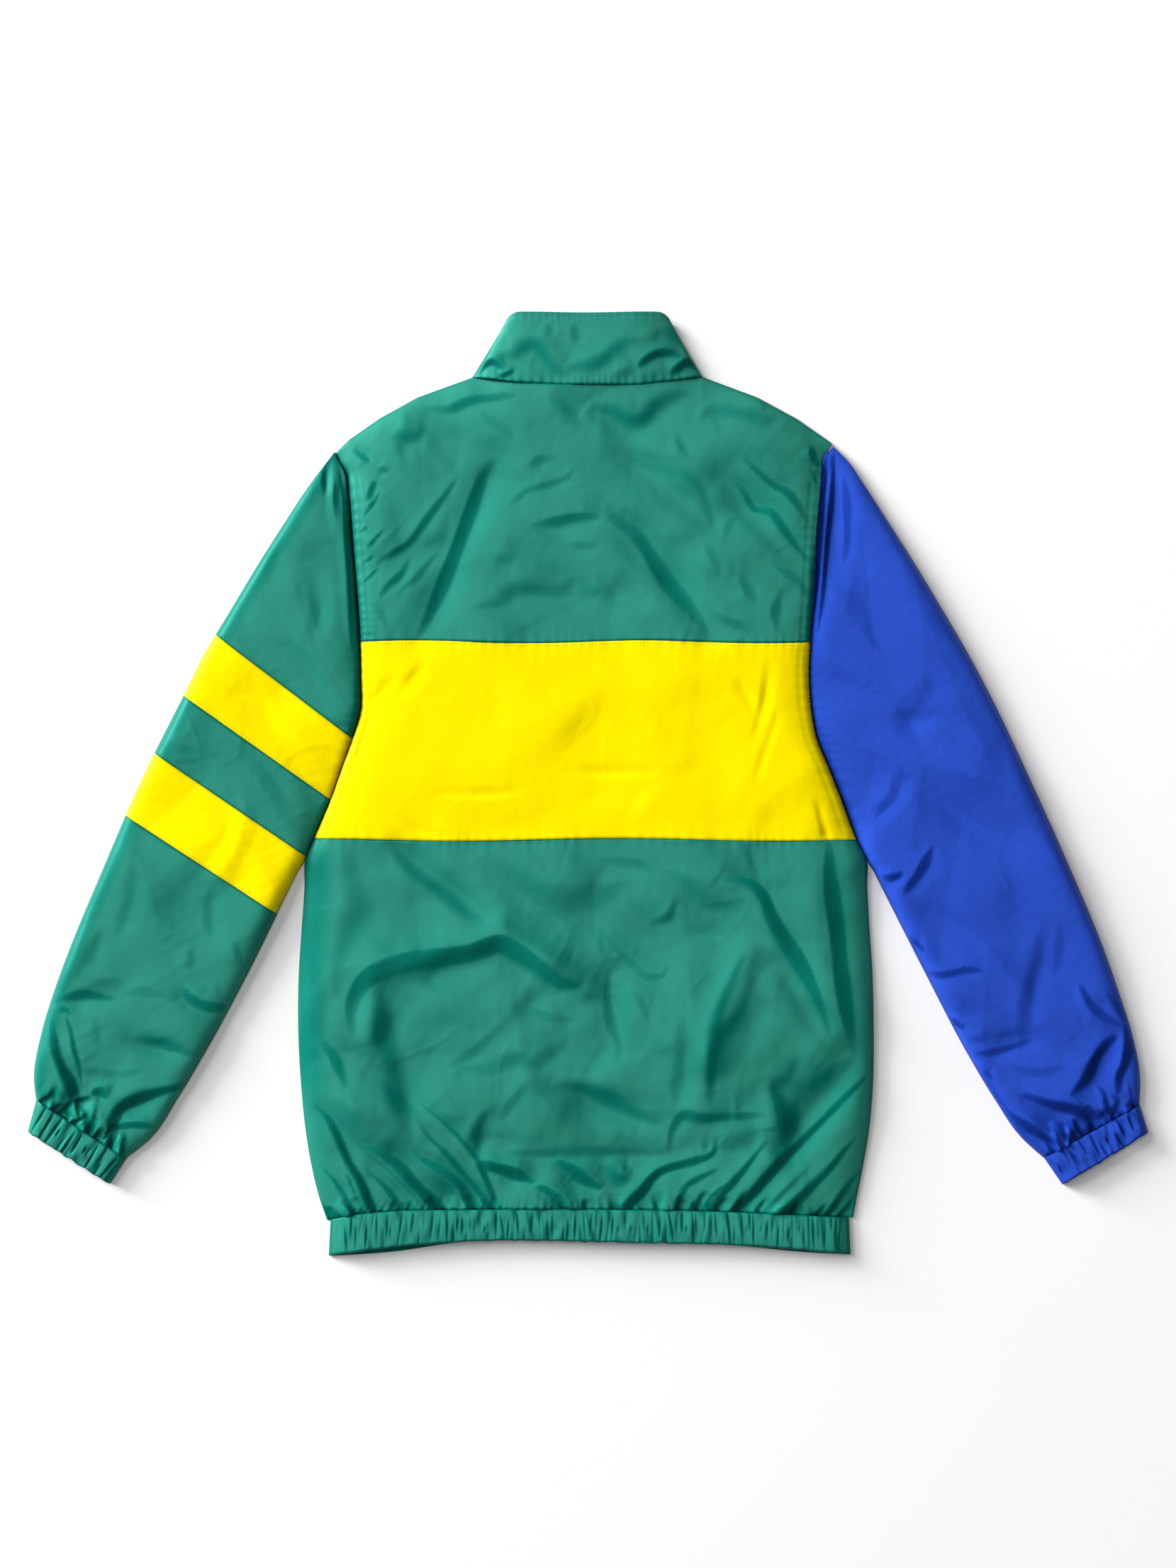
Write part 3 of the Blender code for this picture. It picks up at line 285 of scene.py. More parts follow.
BACK_FALLS = [
    fall(20, 0.15, 0.9, (-203, -48), (-200, -80), (-193, -105), (-203, -130), (-213, -155),
         (-214, -180)),
    fall(12, 0.15, 0.9, (-224, -170), (-226, -195), (-234, -210)),
    fall(12, 0.25, 0.9, (-168, -50), (-150, -72), (-125, -90), (-100, -110), (-80, -120)),
    fall(22, 0.15, 0.9, (-85, -62), (-60, -78), (-30, -97), (0, -97), (25, -88), (37, -86)),
    fall(17, 0.33, 0.6, (-5, -170), (-25, -168), (-40, -156), (-60, -142), (-76, -135),
         (-100, -143), (-130, -147), (-155, -151), (-180, -160), (-193, -172), (-200, -190),
         (-198, -215)),
    fall(17, 0.24, 0.9, (-180, -165), (-176, -190), (-172, -215), (-165, -240), (-160, -265),
         (-155, -290), (-148, -300)),
    fall(9, 0.26, 0.5, (-232, -212), (-218, -225), (-210, -240), (-204, -258)),
    fall(7, 0.55, 0.3, (-240, -266), (-222, -280), (-212, -297), (-203, -318), (-193, -335),
         (-183, -360), end=1),
    fall(3.5, 0.22, 0.5, (-218, -262), (-200, -295), (-190, -310), (-170, -325), (-150, -345),
         (-140, -358), end=1),
    fall(10, 0.52, 0.4, (-195, -305), (-175, -312), (-158, -325), (-145, -340), (-128, -357),
         end=1),
    fall(8, 0.45, 0.5, (-150, -310), (-135, -320), (-118, -330), (-107, -340), (-98, -358), end=1),
    fall(4.5, 0.36, 0.4, (-150, -265), (-135, -275), (-115, -292), (-97, -313), (-90, -325),
         (-78, -355), end=1),
    fall(5.5, 0.36, 0.6, (-146, -280), (-137, -295), (-120, -312), (-105, -330), (-92, -345),
         (-84, -358), end=1),
    fall(4, 0.36, 0.5, (-230, -320), (-215, -335), (-200, -358), end=1),
    fall(5, 0.36, 0.5, (-190, -325), (-172, -340), (-158, -358), end=1),
    fall(3, 0.3, 0.5, (-205, -328), (-195, -350)),
    fall(10, 0.5, 0.4, (-95, -320), (-75, -325), (-55, -332), (-45, -337)),
    fall(8, 0.5, 0.3, (-45, -340), (-35, -343), (-22, -355), end=1),
    fall(10, 0.5, 0.4, (-28, -318), (-15, -325), (-2, -335), (12, -342)),
    fall(12, 0.26, 0.9, (13, -320), (25, -333), (38, -333)),
    fall(10, 0.25, 0.9, (-85, -275), (-93, -290), (-95, -305), (-90, -318)),
    fall(9, 0.2, 0.9, (-75, -312), (-30, -312), (20, -311), (65, -312)),
    fall(12, 0.16, 0.9, (-110, -240), (-85, -240), (-60, -232), (-45, -236), (-15, -215)),
    fall(8, 0.12, 0.7, (-75, -205), (-95, -225), (-120, -240)),
    fall(13, 0.25, 0.9, (-30, -255), (-5, -257), (20, -268), (45, -280), (65, -287)),
    fall(8, 0.12, 0.6, (-50, -250), (-65, -270), (-75, -285)),
    fall(8, 0.12, 0.6, (-60, -185), (-40, -195), (-10, -200)),
    fall(7, 0.18, 0.5, (8, -118), (20, -135), (35, -150), (48, -162), (62, -162), (68, -152)),
    fall(8, 0.18, 0.5, (18, -155), (16, -180), (20, -205), (26, -222), (20, -238)),
    fall(7, 0.12, 0.6, (35, -170), (45, -185), (52, -200)),
    fall(8, 0.12, 0.6, (8, -65), (30, -66), (50, -70), (60, -90)),
    fall(7, 0.18, 0.2, (53, -117), (68, -112), (73, -98)),
    fall(14, 0.16, 0.9, (65, -73), (85, -85), (100, -98), (125, -105)),
    fall(12, 0.36, 0.1, (112, -80), (135, -83), (148, -95), (155, -112), (165, -130), (178, -150),
         (192, -178), (205, -212)),
    fall(14, 0.36, 0.6, (203, -45), (205, -80), (210, -120), (214, -160), (220, -200), (226, -228)),
    fall(10, 0.26, 0.9, (132, -142), (122, -165), (112, -190), (106, -215), (103, -240),
         (102, -270)),
    fall(11, 0.14, 0.9, (80, -195), (78, -225), (75, -255), (72, -278)),
    fall(18, 0.17, 0.9, (155, -250), (180, -255), (205, -245), (228, -232)),
    fall(13, 0.25, 0.9, (155, -250), (162, -270), (170, -290), (166, -308)),
    fall(8, 0.55, 0.3, (238, -245), (222, -260), (200, -283), (180, -303), (160, -322), (140, -345),
         (125, -360), end=1),
    fall(8, 0.52, 0.4, (108, -297), (105, -312), (85, -320), (60, -328), (45, -345), (32, -358),
         end=1),
    fall(8, 0.25, 0.6, (68, -310), (71, -293), (80, -280), (95, -282), (120, -281), (150, -279)),
    fall(6, 0.4, 0.4, (152, -300), (140, -315), (128, -330), (112, -348), (103, -358), end=1),
    fall(5, 0.14, 0.5, (100, -300), (97, -312)),
    fall(13, 0.16, 0.9, (112, -308), (130, -300), (145, -292)),
    fall(6, 0.4, 0.4, (228, -297), (215, -312), (200, -330), (185, -345), (172, -358), end=1),
    fall(5, 0.26, 0.5, (203, -322), (190, -335), (178, -348), (165, -360), end=1),
    fall(6, 0.28, 0.4, (232, -325), (220, -340), (208, -358), end=1),
    fall(4, 0.2, 0.5, (190, -320), (175, -335), (160, -350), (150, -360), end=1),
    fall(5, 0.28, 0.5, (110, -325), (90, -335), (75, -345)),
    fall(3.5, 0.3, 0.5, (85, -340), (72, -355)),
    fall(3.5, 0.38, 0.5, (120, -335), (105, -348), (97, -360), end=1),
    fall(6, 0.12, 0.6, (130, -45), (137, -65), (145, -85)),
    fall(12, 0.34, 0.6, (-77, 276), (-88, 261), (-98, 233), (-107, 209), (-116, 185), (-124, 165),
         (-134, 143), (-144, 123)),
    fall(6, 0.26, 0.5, (-109, 261), (-120, 245), (-132, 229), (-142, 215), (-154, 201), (-168, 193),
         (-180, 185)),
    fall(5, 0.18, 0.5, (-126, 197), (-136, 185), (-146, 173), (-156, 165), (-164, 157)),
    fall(6, 0.26, 0.5, (-150, 191), (-158, 177), (-168, 168), (-176, 158)),
    fall(5, 0.36, 0.4, (-180, 257), (-186, 239)),
    fall(3, 0.3, 0.5, (-175, 247), (-190, 225)),
    fall(2.4, 0.3, 0.5, (-186, 218), (-191, 213)),
    fall(3, 0.34, 0.5, (-173, 214), (-187, 199)),
    fall(2.4, 0.34, 0.5, (-180, 193), (-190, 187)),
    fall(2.4, 0.34, 0.5, (-177, 182), (-190, 170)),
    fall(5, 0.3, 0.5, (-200, 283), (-188, 275), (-184, 271)),
    fall(5, 0.25, 0.5, (-178, 267), (-168, 264)),
    fall(12, 0.25, 0.9, (-166, 293), (-152, 294), (-138, 296)),
    fall(8, 0.25, 0.5, (-136, 318), (-128, 318), (-116, 317), (-100, 324), (-84, 326), (-60, 329)),
    fall(9, 0.12, 0.6, (-92, 313), (-80, 305), (-68, 297), (-68, 289)),
    fall(8, 0.16, 0.6, (-52, 267), (-40, 274), (-28, 275)),
    fall(6, 0.17, 0.5, (-68, 233), (-52, 247), (-32, 253), (-18, 259), (-12, 267)),
    fall(9, 0.24, 0.6, (-48, 218), (-28, 221), (-10, 225), (12, 226)),
    fall(9, 0.12, 0.6, (-80, 189), (-60, 191)),
    fall(11, 0.17, 0.9, (-100, 149), (-76, 153), (-64, 163), (-46, 165), (-24, 163), (-10, 175)),
    fall(12, 0.17, 0.9, (-34, 327), (-20, 319), (-12, 307), (-4, 303)),
    fall(6, 0.12, 0.6, (-184, 153), (-176, 145), (-168, 133)),
    fall(4, 0.14, 0.6, (-188, 129), (-180, 125)),
    fall(7, 0.12, 0.6, (-20, 202), (10, 201)),
    fall(14, 0.27, 0.5, (13, 233), (24, 223), (40, 211), (50, 197), (60, 181), (70, 167), (82, 153),
         (94, 137), (102, 123)),
    fall(10, 0.18, 0.9, (28, 279), (46, 271), (66, 265), (84, 259), (94, 249), (100, 233),
         (106, 215)),
    fall(7, 0.12, 0.5, (98, 205), (106, 189), (112, 177)),
    fall(7, 0.27, 0.5, (118, 259), (130, 249), (140, 233), (154, 230), (164, 217), (174, 203),
         (186, 189), (190, 181)),
    fall(7, 0.25, 0.5, (130, 277), (142, 265), (156, 253), (170, 245), (180, 231), (187, 219)),
    fall(6, 0.17, 0.5, (74, 297), (78, 285), (86, 275)),
    fall(13, 0.26, 0.9, (0, 319), (20, 315), (36, 307), (48, 309), (56, 319), (70, 327), (86, 331)),
    fall(11, 0.17, 0.9, (94, 307), (104, 315), (120, 315), (138, 311), (150, 307), (162, 313)),
    fall(6, 0.12, 0.5, (114, 205), (120, 221), (130, 227)),
    fall(8, 0.15, 0.6, (128, 177), (134, 165), (142, 153)),
    fall(7, 0.17, 0.5, (154, 185), (166, 179), (178, 171), (186, 157)),
    fall(8, 0.17, 0.6, (164, 165), (158, 145), (160, 129)),
    fall(8, 0.17, 0.5, (106, 145), (118, 137), (130, 133), (138, 123)),
    fall(6, 0.36, 0.5, (188, 287), (192, 273), (198, 269)),
    fall(3, 0.36, 0.5, (190, 265), (192, 257), (195, 253)),
    fall(8, 0.12, 0.6, (5, 175), (16, 165), (22, 155)),
]
LEFT_SLEEVE_FALLS = [
    fall(5, 0.5, 0.3, (-212, 268), (-207, 245), (-204, 215), (-202, 180), (-200, 140), (-199, 112)),
    fall(8, 0.28, 0.7, (-453, -185), (-440, -181), (-425, -178), (-412, -180), (-398, -182)),
    fall(5, 0.3, 0.5, (-449, -190), (-441, -191), (-437, -196)),
    fall(9, 0.6, 0.3, (-455, -196), (-452, -212), (-449, -228), (-443, -242), (-437, -254),
         (-434, -266), end=1),
    fall(3.2, 0.4, 0.5, (-442, -193), (-437, -210), (-434, -225), (-430, -240), (-428, -256)),
    fall(9, 0.3, 0.5, (-343, -170), (-337, -180), (-325, -187), (-313, -189), (-303, -188)),
    fall(9, 0.22, 0.4, (-330, -230), (-345, -224), (-360, -219), (-375, -217), (-388, -217)),
    fall(10, 0.58, 0.3, (-336, -256), (-350, -257), (-365, -261), (-380, -266), (-395, -274),
         (-402, -286), end=1),
    fall(6, 0.4, 0.5, (-367, -290), (-380, -288), (-393, -289), (-402, -292)),
    fall(8, 0.5, 0.4, (-420, -262), (-413, -260), (-406, -266)),
    fall(4.5, 0.5, 0.4, (-450, -254), (-452, -264), (-453, -276), end=1),
    fall(6, 0.55, 0.4, (-433, -270), (-427, -276), (-424, -286), (-423, -293), end=1),
    fall(12, 0.16, 0.9, (-410, -122), (-423, -142), (-436, -162), (-446, -176)),
    fall(8, 0.12, 0.6, (-336, -138), (-335, -158)),
    fall(6, 0.16, 0.6, (-300, -132), (-293, -152)),
    fall(8, 0.12, 0.7, (-430, -241), (-400, -246), (-375, -241)),
    fall(7, 0.12, 0.6, (-418, -198), (-413, -218)),
    fall(8, 0.1, 0.6, (-396, -179), (-374, -175), (-348, -182)),
    fall(10, 0.12, 0.9, (-384, -64), (-388, -98), (-400, -130)),
    fall(9, 0.12, 0.7, (-318, -88), (-322, -110), (-318, -132)),
]
RIGHT_SLEEVE_FALLS = [
    fall(9, 0.66, 0.3, (208, 281), (206, 262), (204, 240), (201, 215), (199, 190), (196, 160),
         (192, 125)),
    fall(7, 0.24, 0.6, (216, 262), (219, 235), (219, 205), (216, 186)),
    fall(6, 0.5, 0.4, (248, -78), (257, -79), (266, -75)),
    fall(8, 0.34, 0.5, (266, -94), (274, -83), (283, -70), (291, -52)),
    fall(4, 0.55, 0.4, (270, -129), (277, -134), (284, -141)),
    fall(6, 0.34, 0.6, (286, -158), (295, -161), (306, -160), (320, -157), (334, -158)),
    fall(4, 0.55, 0.4, (304, -197), (311, -202), (318, -207)),
    fall(6, 0.13, 0.6, (320, -214), (336, -217)),
    fall(6, 0.28, 0.5, (324, -228), (340, -227), (356, -223), (376, -216)),
    fall(4, 0.4, 0.5, (334, -242), (342, -249)),
    fall(9, 0.6, 0.4, (447, -213), (436, -222), (428, -235), (422, -248), (413, -258), (407, -263)),
    fall(8, 0.58, 0.4, (454, -203), (457, -220), (454, -235), (449, -247), (448, -262)),
    fall(7, 0.34, 0.6, (415, -168), (422, -182), (430, -192), (442, -200), (453, -206)),
    fall(6, 0.26, 0.5, (436, -174), (447, -188), (456, -202)),
    fall(11, 0.17, 0.9, (383, -120), (379, -148), (372, -175), (368, -198), (370, -215)),
    fall(8, 0.12, 0.7, (398, -116), (398, -138), (393, -164)),
    fall(9, 0.6, 0.3, (366, -262), (380, -267), (395, -272), (410, -275), (420, -281), (426, -291),
         end=1),
    fall(7, 0.58, 0.4, (349, -274), (362, -283), (375, -292), (388, -300), (402, -306)),
    fall(4, 0.5, 0.4, (390, -289), (401, -296), (413, -301)),
    fall(3.2, 0.44, 0.4, (397, -284), (408, -290), (416, -297)),
    fall(5, 0.42, 0.5, (429, -254), (436, -262), (438, -274), end=1),
    fall(5, 0.42, 0.5, (440, -261), (447, -268), (444, -277), end=1),
    fall(4, 0.5, 0.4, (430, -284), (437, -276), (443, -276)),
    fall(8, 0.3, 0.5, (328, -238), (342, -262), (360, -288), (378, -306)),
    fall(8, 0.13, 0.6, (358, -240), (380, -244), (402, -240)),
    fall(3.2, 0.3, 0.5, (455, -248), (459, -262), (460, -272), end=1),
]
COLLAR_FALLS = [
    fall(6, 0.6, 0.4, (-96, 346), (-89, 353), (-82, 357), (-75, 353), (-71, 350)),
    fall(4, 0.52, 0.4, (-76, 345), (-69, 346), (-62, 350)),
    fall(11, 0.25, 0.9, (-76, 363), (-63, 363), (-51, 371), (-42, 369), (-36, 360), (-27, 350),
         (-14, 344)),
    fall(11, 0.25, 0.9, (-18, 351), (0, 353), (12, 358), (22, 366), (32, 373), (44, 375)),
    fall(6.5, 0.55, 0.5, (42, 352), (50, 359), (60, 364), (70, 364), (79, 361)),
    fall(9, 0.16, 0.5, (20, 344), (30, 346), (40, 352)),
    fall(7, 0.6, 0.4, (70, 346), (77, 352), (85, 357), (92, 353), (96, 346)),
    fall(11, 0.2, 0.9, (62, 388), (71, 379), (84, 376)),
    fall(8, 0.14, 0.5, (-36, 389), (-31, 379)),
    fall(8, 0.14, 0.5, (-13, 389), (-9, 372)),
    fall(8, 0.12, 0.5, (-84, 384), (-78, 374)),
]


def curve_through(keys, values):
    """A smooth curve through a table, level beyond its ends."""
    order = np.argsort(keys)
    keys = np.array(keys, dtype=float)[order]
    values = np.array(values, dtype=float)[order]
    slopes = np.gradient(values, keys)

    def at(key):
        key = np.clip(key, keys[0], keys[-1])
        index = np.clip(np.searchsorted(keys, key) - 1, 0, len(keys) - 2)
        span = keys[index + 1] - keys[index]
        t = (key - keys[index]) / span
        return ((1 + 2 * t) * (1 - t) ** 2 * values[index]
                + t * (1 - t) ** 2 * span * slopes[index]
                + t * t * (3 - 2 * t) * values[index + 1]
                + t * t * (t - 1) * span * slopes[index + 1])

    return at


def column(rows, name):
    """One named value of every row."""
    return [getattr(row, name) for row in rows]


def column_curve(rows, key, value):
    """The smooth curve of one column of a table against another."""
    return curve_through(column(rows, key), column(rows, value))


body_left = column_curve(BODY_EDGES, "y", "left")
body_right = column_curve(BODY_EDGES, "y", "right")
body_rise = column_curve(BODY_EDGES, "y", "rise")
body_height = column_curve(BODY_HEIGHTS, "y", "height")
top_rise = column_curve(TOP_LINE, "x", "rise")
hem_seam = column_curve(HEM_LINES, "x", "seam")
hem_back_edge = column_curve(HEM_LINES, "x", "back_edge")
hem_front_edge = column_curve(HEM_LINES, "x", "front_edge")
sleeve_outer = {-1: column_curve(SLEEVE_OUTER, "y", "left"),
                1: column_curve(SLEEVE_OUTER, "y", "right")}
sleeve_inner = {-1: column_curve(SLEEVE_INNER, "y", "left"),
                1: column_curve(SLEEVE_INNER, "y", "right")}


def top_y(x):
    """The shoulder and neck line, straight between its rows."""
    return np.interp(x, column(TOP_LINE, "x"), column(TOP_LINE, "y"))


def front_top_y(x):
    """The front's shoulder line, then its lower neck line."""
    corner = np.where(x < 0, NECK_LEFT, NECK_RIGHT)
    share = np.minimum(np.abs(x / corner), 1) ** FRONT_NECK_SLOPE
    neck = FRONT_NECK_Y + (top_y(corner) - FRONT_NECK_Y) * share
    return np.where((x < NECK_LEFT) | (x > NECK_RIGHT), top_y(x), neck)


def band_top_y(x):
    return BAND_TOP + BAND_WAVE * np.sin(x / 31.0)


def band_bottom_y(x):
    return BAND_BOTTOM + BAND_WAVE * np.sin(x / 43.0 + 1.0)


def tab_lift(x, y):
    """How far the pull tab under the zip holds the front up."""
    share = np.minimum(np.hypot(x, y - LIFT_Y) / LIFT_RADIUS, 1.0)
    return LIFT_HEIGHT * (1 - share ** 2) ** 2


def step_up(value, low, high):
    """0 below low, 1 above high, with a soft change between."""
    t = np.clip((value - low) / (high - low), 0, 1)
    return t * t * (3 - 2 * t)


# ------------------------------------------------------- folds and creases

def fold_rise(x, y):
    """Height that the large folds add."""
    total = np.zeros_like(x)
    for fold in FOLDS:
        run_x, run_y = fold.x1 - fold.x0, fold.y1 - fold.y0
        t = ((x - fold.x0) * run_x + (y - fold.y0) * run_y) / (run_x ** 2 + run_y ** 2)
        t = np.clip(t, 0, 1)
        away = np.hypot(x - fold.x0 - t * run_x, y - fold.y0 - t * run_y)
        taper = 0.55 + 0.45 * np.sin(np.pi * t)
        total += fold.rise * taper * np.exp(-(away / fold.width) ** 2)
    return total


def smooth_path(points, steps=5):
    """A path that bends softly through its points."""
    points = np.array(points, dtype=float)
    if len(points) == 2:
        return points
    ends = np.vstack((2 * points[0] - points[1], points, 2 * points[-1] - points[-2]))
    path = []
    for a, b, c, d in zip(ends, ends[1:], ends[2:], ends[3:]):
        for t in np.linspace(0, 1, steps, endpoint=False):
            path.append(0.5 * (2 * b + (c - a) * t + (2 * a - 5 * b + 4 * c - d) * t ** 2
                               + (3 * b - a - 3 * c + d) * t ** 3))
    return np.array(path + [points[-1]])


def beside(path, x, y):
    """Distance to a path, its side (1 at the left hand) and the share of the way along it."""
    best, side, share = np.full(x.shape, 1e9), np.zeros(x.shape), np.zeros(x.shape)
    runs = np.diff(path, axis=0)
    lengths = np.hypot(runs[:, 0], runs[:, 1])
    passed = 0.0
    for (ax, ay), (dx, dy), length in zip(path, runs / lengths[:, None], lengths):
        along = np.clip((x - ax) * dx + (y - ay) * dy, 0, length)
        off_x, off_y = x - ax - along * dx, y - ay - along * dy
        away = np.hypot(off_x, off_y)
        closer = away < best
        best = np.where(closer, away, best)
        side = np.where(closer, np.sign(dx * off_y - dy * off_x), side)
        share = np.where(closer, (passed + along) / lengths.sum(), share)
        passed += length
    return best, side, share


def within(path, reach, x, y):
    """Which points lie in the box round a path."""
    low, high = path.min(0) - reach, path.max(0) + reach
    return (x > low[0]) & (x < high[0]) & (y > low[1]) & (y < high[1])


def crease_rise(item, x, y):
    """Height that one crease adds, steeper on the side that it leans to."""
    total = np.zeros_like(x)
    path = smooth_path(item.path)
    near = within(path, 5 * item.width, x, y)
    if not near.any():
        return total
    away, side, share = beside(path, x[near], y[near])
    blunt = 0.22 * item.width
    span = CREASE_SPAN * item.width * (1 + 1.25 * item.lean * side)
    plane = np.maximum(1 - (np.sqrt(away ** 2 + blunt ** 2) - blunt) / span, 0)
    shape = 1.16 * plane ** 2 / (plane + 0.16)
    turn = np.pi / 2 if item.end else np.pi
    strength = np.maximum(np.sin(turn * share), 0) ** 0.8
    total[near] = item.rise * strength * (0.86 + 0.14 * np.cos(9 * share + path[0][0])) * shape
    return total


def fall_parts(item, x, y):
    """Where a fall reaches, and there its scaled distance, side, width and fullness."""
    path = smooth_path(item.path)
    near = within(path, 3.2 * item.width, x, y)
    away, side, share = beside(path, x[near], y[near])
    run_x, run_y = path[-1] - path[0]
    hand = math.copysign(1, -FROM_LIGHT[0] * run_y + FROM_LIGHT[1] * run_x)
    turn = np.pi / 2 if item.end else np.pi
    full = np.maximum(np.sin(turn * share), 0)
    wide = item.width * (0.3 + 0.7 * full ** 0.7) * (1 + 0.12 * np.sin(11 * share + path[0][1]))
    above = item.soft if item.soft > SOFT_BOTH else max(0.12, 0.9 - 1.3 * item.soft)
    softness = np.where(side * hand > 0, item.soft, above)
    return near, np.clip(away / wide, 0, 3.1), side * hand, wide, full ** 0.4, softness


def fall_rise(item, x, y):
    """Height of one fall: down across its path, and softly back to level on both sides."""
    total = np.zeros_like(x)
    near, at, side, wide, full, softness = fall_parts(item, x, y)
    span = 2.6 if item.width > 8 else 1.6
    back = 0.5 * (1 - np.clip((at - 0.5) / span, 0, 1)) ** 1.3
    crisp = np.where(at < 0.5, at, back)
    soft = at * np.exp(-(at / 0.95) ** 2)
    shape = crisp + (soft - crisp) * softness
    total[near] = -side * FALL_SLOPE * item.slope * wide * full * shape
    return total


def steepest(falls, x, y):
    """Slope of the steepest fall at each point, which sets how much painted shade the cloth gets
    there.
    """
    slope = np.zeros_like(x)
    for item in falls:
        near, at, _, _, full, softness = fall_parts(item, x, y)
        crisp = 1 - step_up(at, 0.42, 0.62)
        soft = np.exp(-(at / 0.72) ** 2)
        slope[near] = np.maximum(slope[near],
                                 item.slope * full * (crisp + (soft - crisp) * softness))
    return slope


def creases_rise(creases, x, y):
    """Height that all these creases add."""
    return sum((crease_rise(item, x, y) for item in creases), np.zeros_like(x))


def falls_rise(falls, x, y):
    """Height that all these falls add or take away."""
    return sum((fall_rise(item, x, y) for item in falls), np.zeros_like(x))


def waves(x, y, size, seed, count=11):
    """Soft unevenness, about -2 to 2, from crossing waves of many directions."""
    numbers = np.random.default_rng(seed)
    bend_x = 0.35 * size * np.sin(y / (0.9 * size) + seed)
    bend_y = 0.35 * size * np.sin(x / (1.1 * size) + 2 * seed)
    total = np.zeros_like(x)
    for _ in range(count):
        angle, phase = numbers.uniform(0, 2 * np.pi, 2)
        length = size * numbers.uniform(0.7, 1.7)
        ahead = (x + bend_x) * math.cos(angle) + (y + bend_y) * math.sin(angle)
        total += np.sin(2 * np.pi * ahead / length + phase)
    return total / math.sqrt(count / 2)


def crumple(x, y, seed):
    """Fine unevenness of thin nylon: soft swells and a few thin winding ridges."""
    swell = 0.10 * waves(x, y, 34, seed) + 0.03 * waves(x, y, 13, seed + 1)
    line = np.exp(-np.abs(waves(x, y, 75, seed + 2)) / 0.13)
    patch = step_up(waves(x, y, 120, seed + 3), 0.0, 1.3)
    return swell + 0.3 * line * patch + facets(x, y, seed + 4)


def facets(x, y, seed, count=5):
    """Flat planes that meet in crisp bends, as thin nylon breaks when it is laid down."""
    numbers = np.random.default_rng(seed)
    total = np.zeros_like(x)
    for _ in range(count):
        angle, phase = numbers.uniform(0, np.pi), numbers.uniform(0, 1)
        length = numbers.uniform(70, 170)
        aside = x * math.sin(angle) - y * math.cos(angle)
        bend = 0.16 * length * np.sin(aside / length + 9 * phase)
        turn = (x * math.cos(angle) + y * math.sin(angle) + bend) / length + phase
        zigzag = 1 - 2 * np.abs(turn - np.floor(turn) - 0.5) * 2
        where = step_up(waves(x, y, 150, int(1000 * phase)), -0.6, 0.9)
        total += FACET_RISE * length / 100 * zigzag * where
    return total


def pucker(along, away, seed, pitch=8.0, rise=0.22, reach=5.0):
    """Small ripples that sewing draws up across a seam."""
    turn = along / pitch + 0.9 * np.sin(along / 37 + seed) + 0.5 * np.sin(along / 14 + seed)
    return rise * np.sin(2 * np.pi * turn) * np.exp(-away / reach)


def gather(along, up, pitch, seed):
    """Uneven upright pleats, 0 to 1: two families that lean against each other."""
    first = (along / pitch + 0.55 * np.sin(along / (3.1 * pitch) + seed)
             + 0.3 * np.sin(along / (1.3 * pitch) + 2.3 * seed)
             + 0.5 * (up - 0.5) * np.sin(along / (4.3 * pitch) + seed))
    second = (along / (0.62 * pitch) + 0.8 * np.sin(along / (3.7 * pitch) - seed)
              - 0.8 * (up - 0.5) * np.cos(along / (2.9 * pitch)))
    wide = (0.5 + 0.5 * np.cos(2 * np.pi * first)) ** 1.2
    fine = (0.5 + 0.5 * np.cos(2 * np.pi * second)) ** 2.0
    share = 0.5 + 0.5 * np.sin(along / (5.3 * pitch) + seed) * np.sin(along / (2.1 * pitch))
    return np.maximum(wide * (0.45 + 0.55 * share), fine * (0.9 - 0.6 * share))


# ---------------------------------------------------------- making of cloth

def spaced(length, pitch, finer=(0.35, 0.9, 1.7)):
    """Shares from 0 to 1 for lines about pitch apart, with finer ones at both ends."""
    inner = np.linspace(finer[-1] + pitch / 2, length - finer[-1] - pitch / 2,
                        max(2, int(round((length - 2 * finer[-1]) / pitch))))
    low = np.array((0.0,) + finer)
    return np.concatenate((low, inner, length - low[::-1])) / length


def run_along(x, y, axis):
    """Distance along a grid from its first line, and what is left to its last."""
    steps = np.hypot(np.diff(x, axis=axis), np.diff(y, axis=axis))
    start = np.zeros_like(np.take(steps, [0], axis))
    done = np.concatenate((start, np.cumsum(steps, axis)), axis)
    return done, np.take(done, [-1], axis) - done


def groove(away):
    """The line that a seam draws in the cloth."""
    return -GROOVE * np.exp(-(away / GROOVE_WIDTH) ** 2)


def along_armhole(y, low, high):
    """1 along the armhole seam, fading out over these lengths at its two ends."""
    start = step_up(y, ARMHOLE_LOW, ARMHOLE_LOW + low)
    return start * (1 - step_up(y, ARMHOLE_HIGH - high, ARMHOLE_HIGH))


def valley(away, dip, reach):
    """How deep the cloth dips at the armhole: broadly, and in a slit at the seam."""
    return dip * np.exp(-away / reach) + SLIT * np.exp(-away / SLIT_WIDTH)


def eased(height, low, away, reach):
    """A height that comes down to low at an edge, over this reach."""
    return height - (height - low) * np.exp(-away / reach)


def rolled(z, away, low=EDGE_LOW, radius=2.4):
    """Cloth that turns down over an outer edge to the height low."""
    turn = 1 - np.minimum(away, radius) / radius
    return low + (z - low) * np.sqrt(np.maximum(1 - turn ** 2, 0))


# Pieces that stand for more than one solid
STRETCHES = {
    "sleeve_left_forearm": ("sleeve_left_forearm", "sleeve_left_wrist"),
    "sleeve_right": ("sleeve_right_head", "sleeve_right_upper_arm", "sleeve_right_elbow",
                     "sleeve_right_forearm", "sleeve_right_wrist"),
}


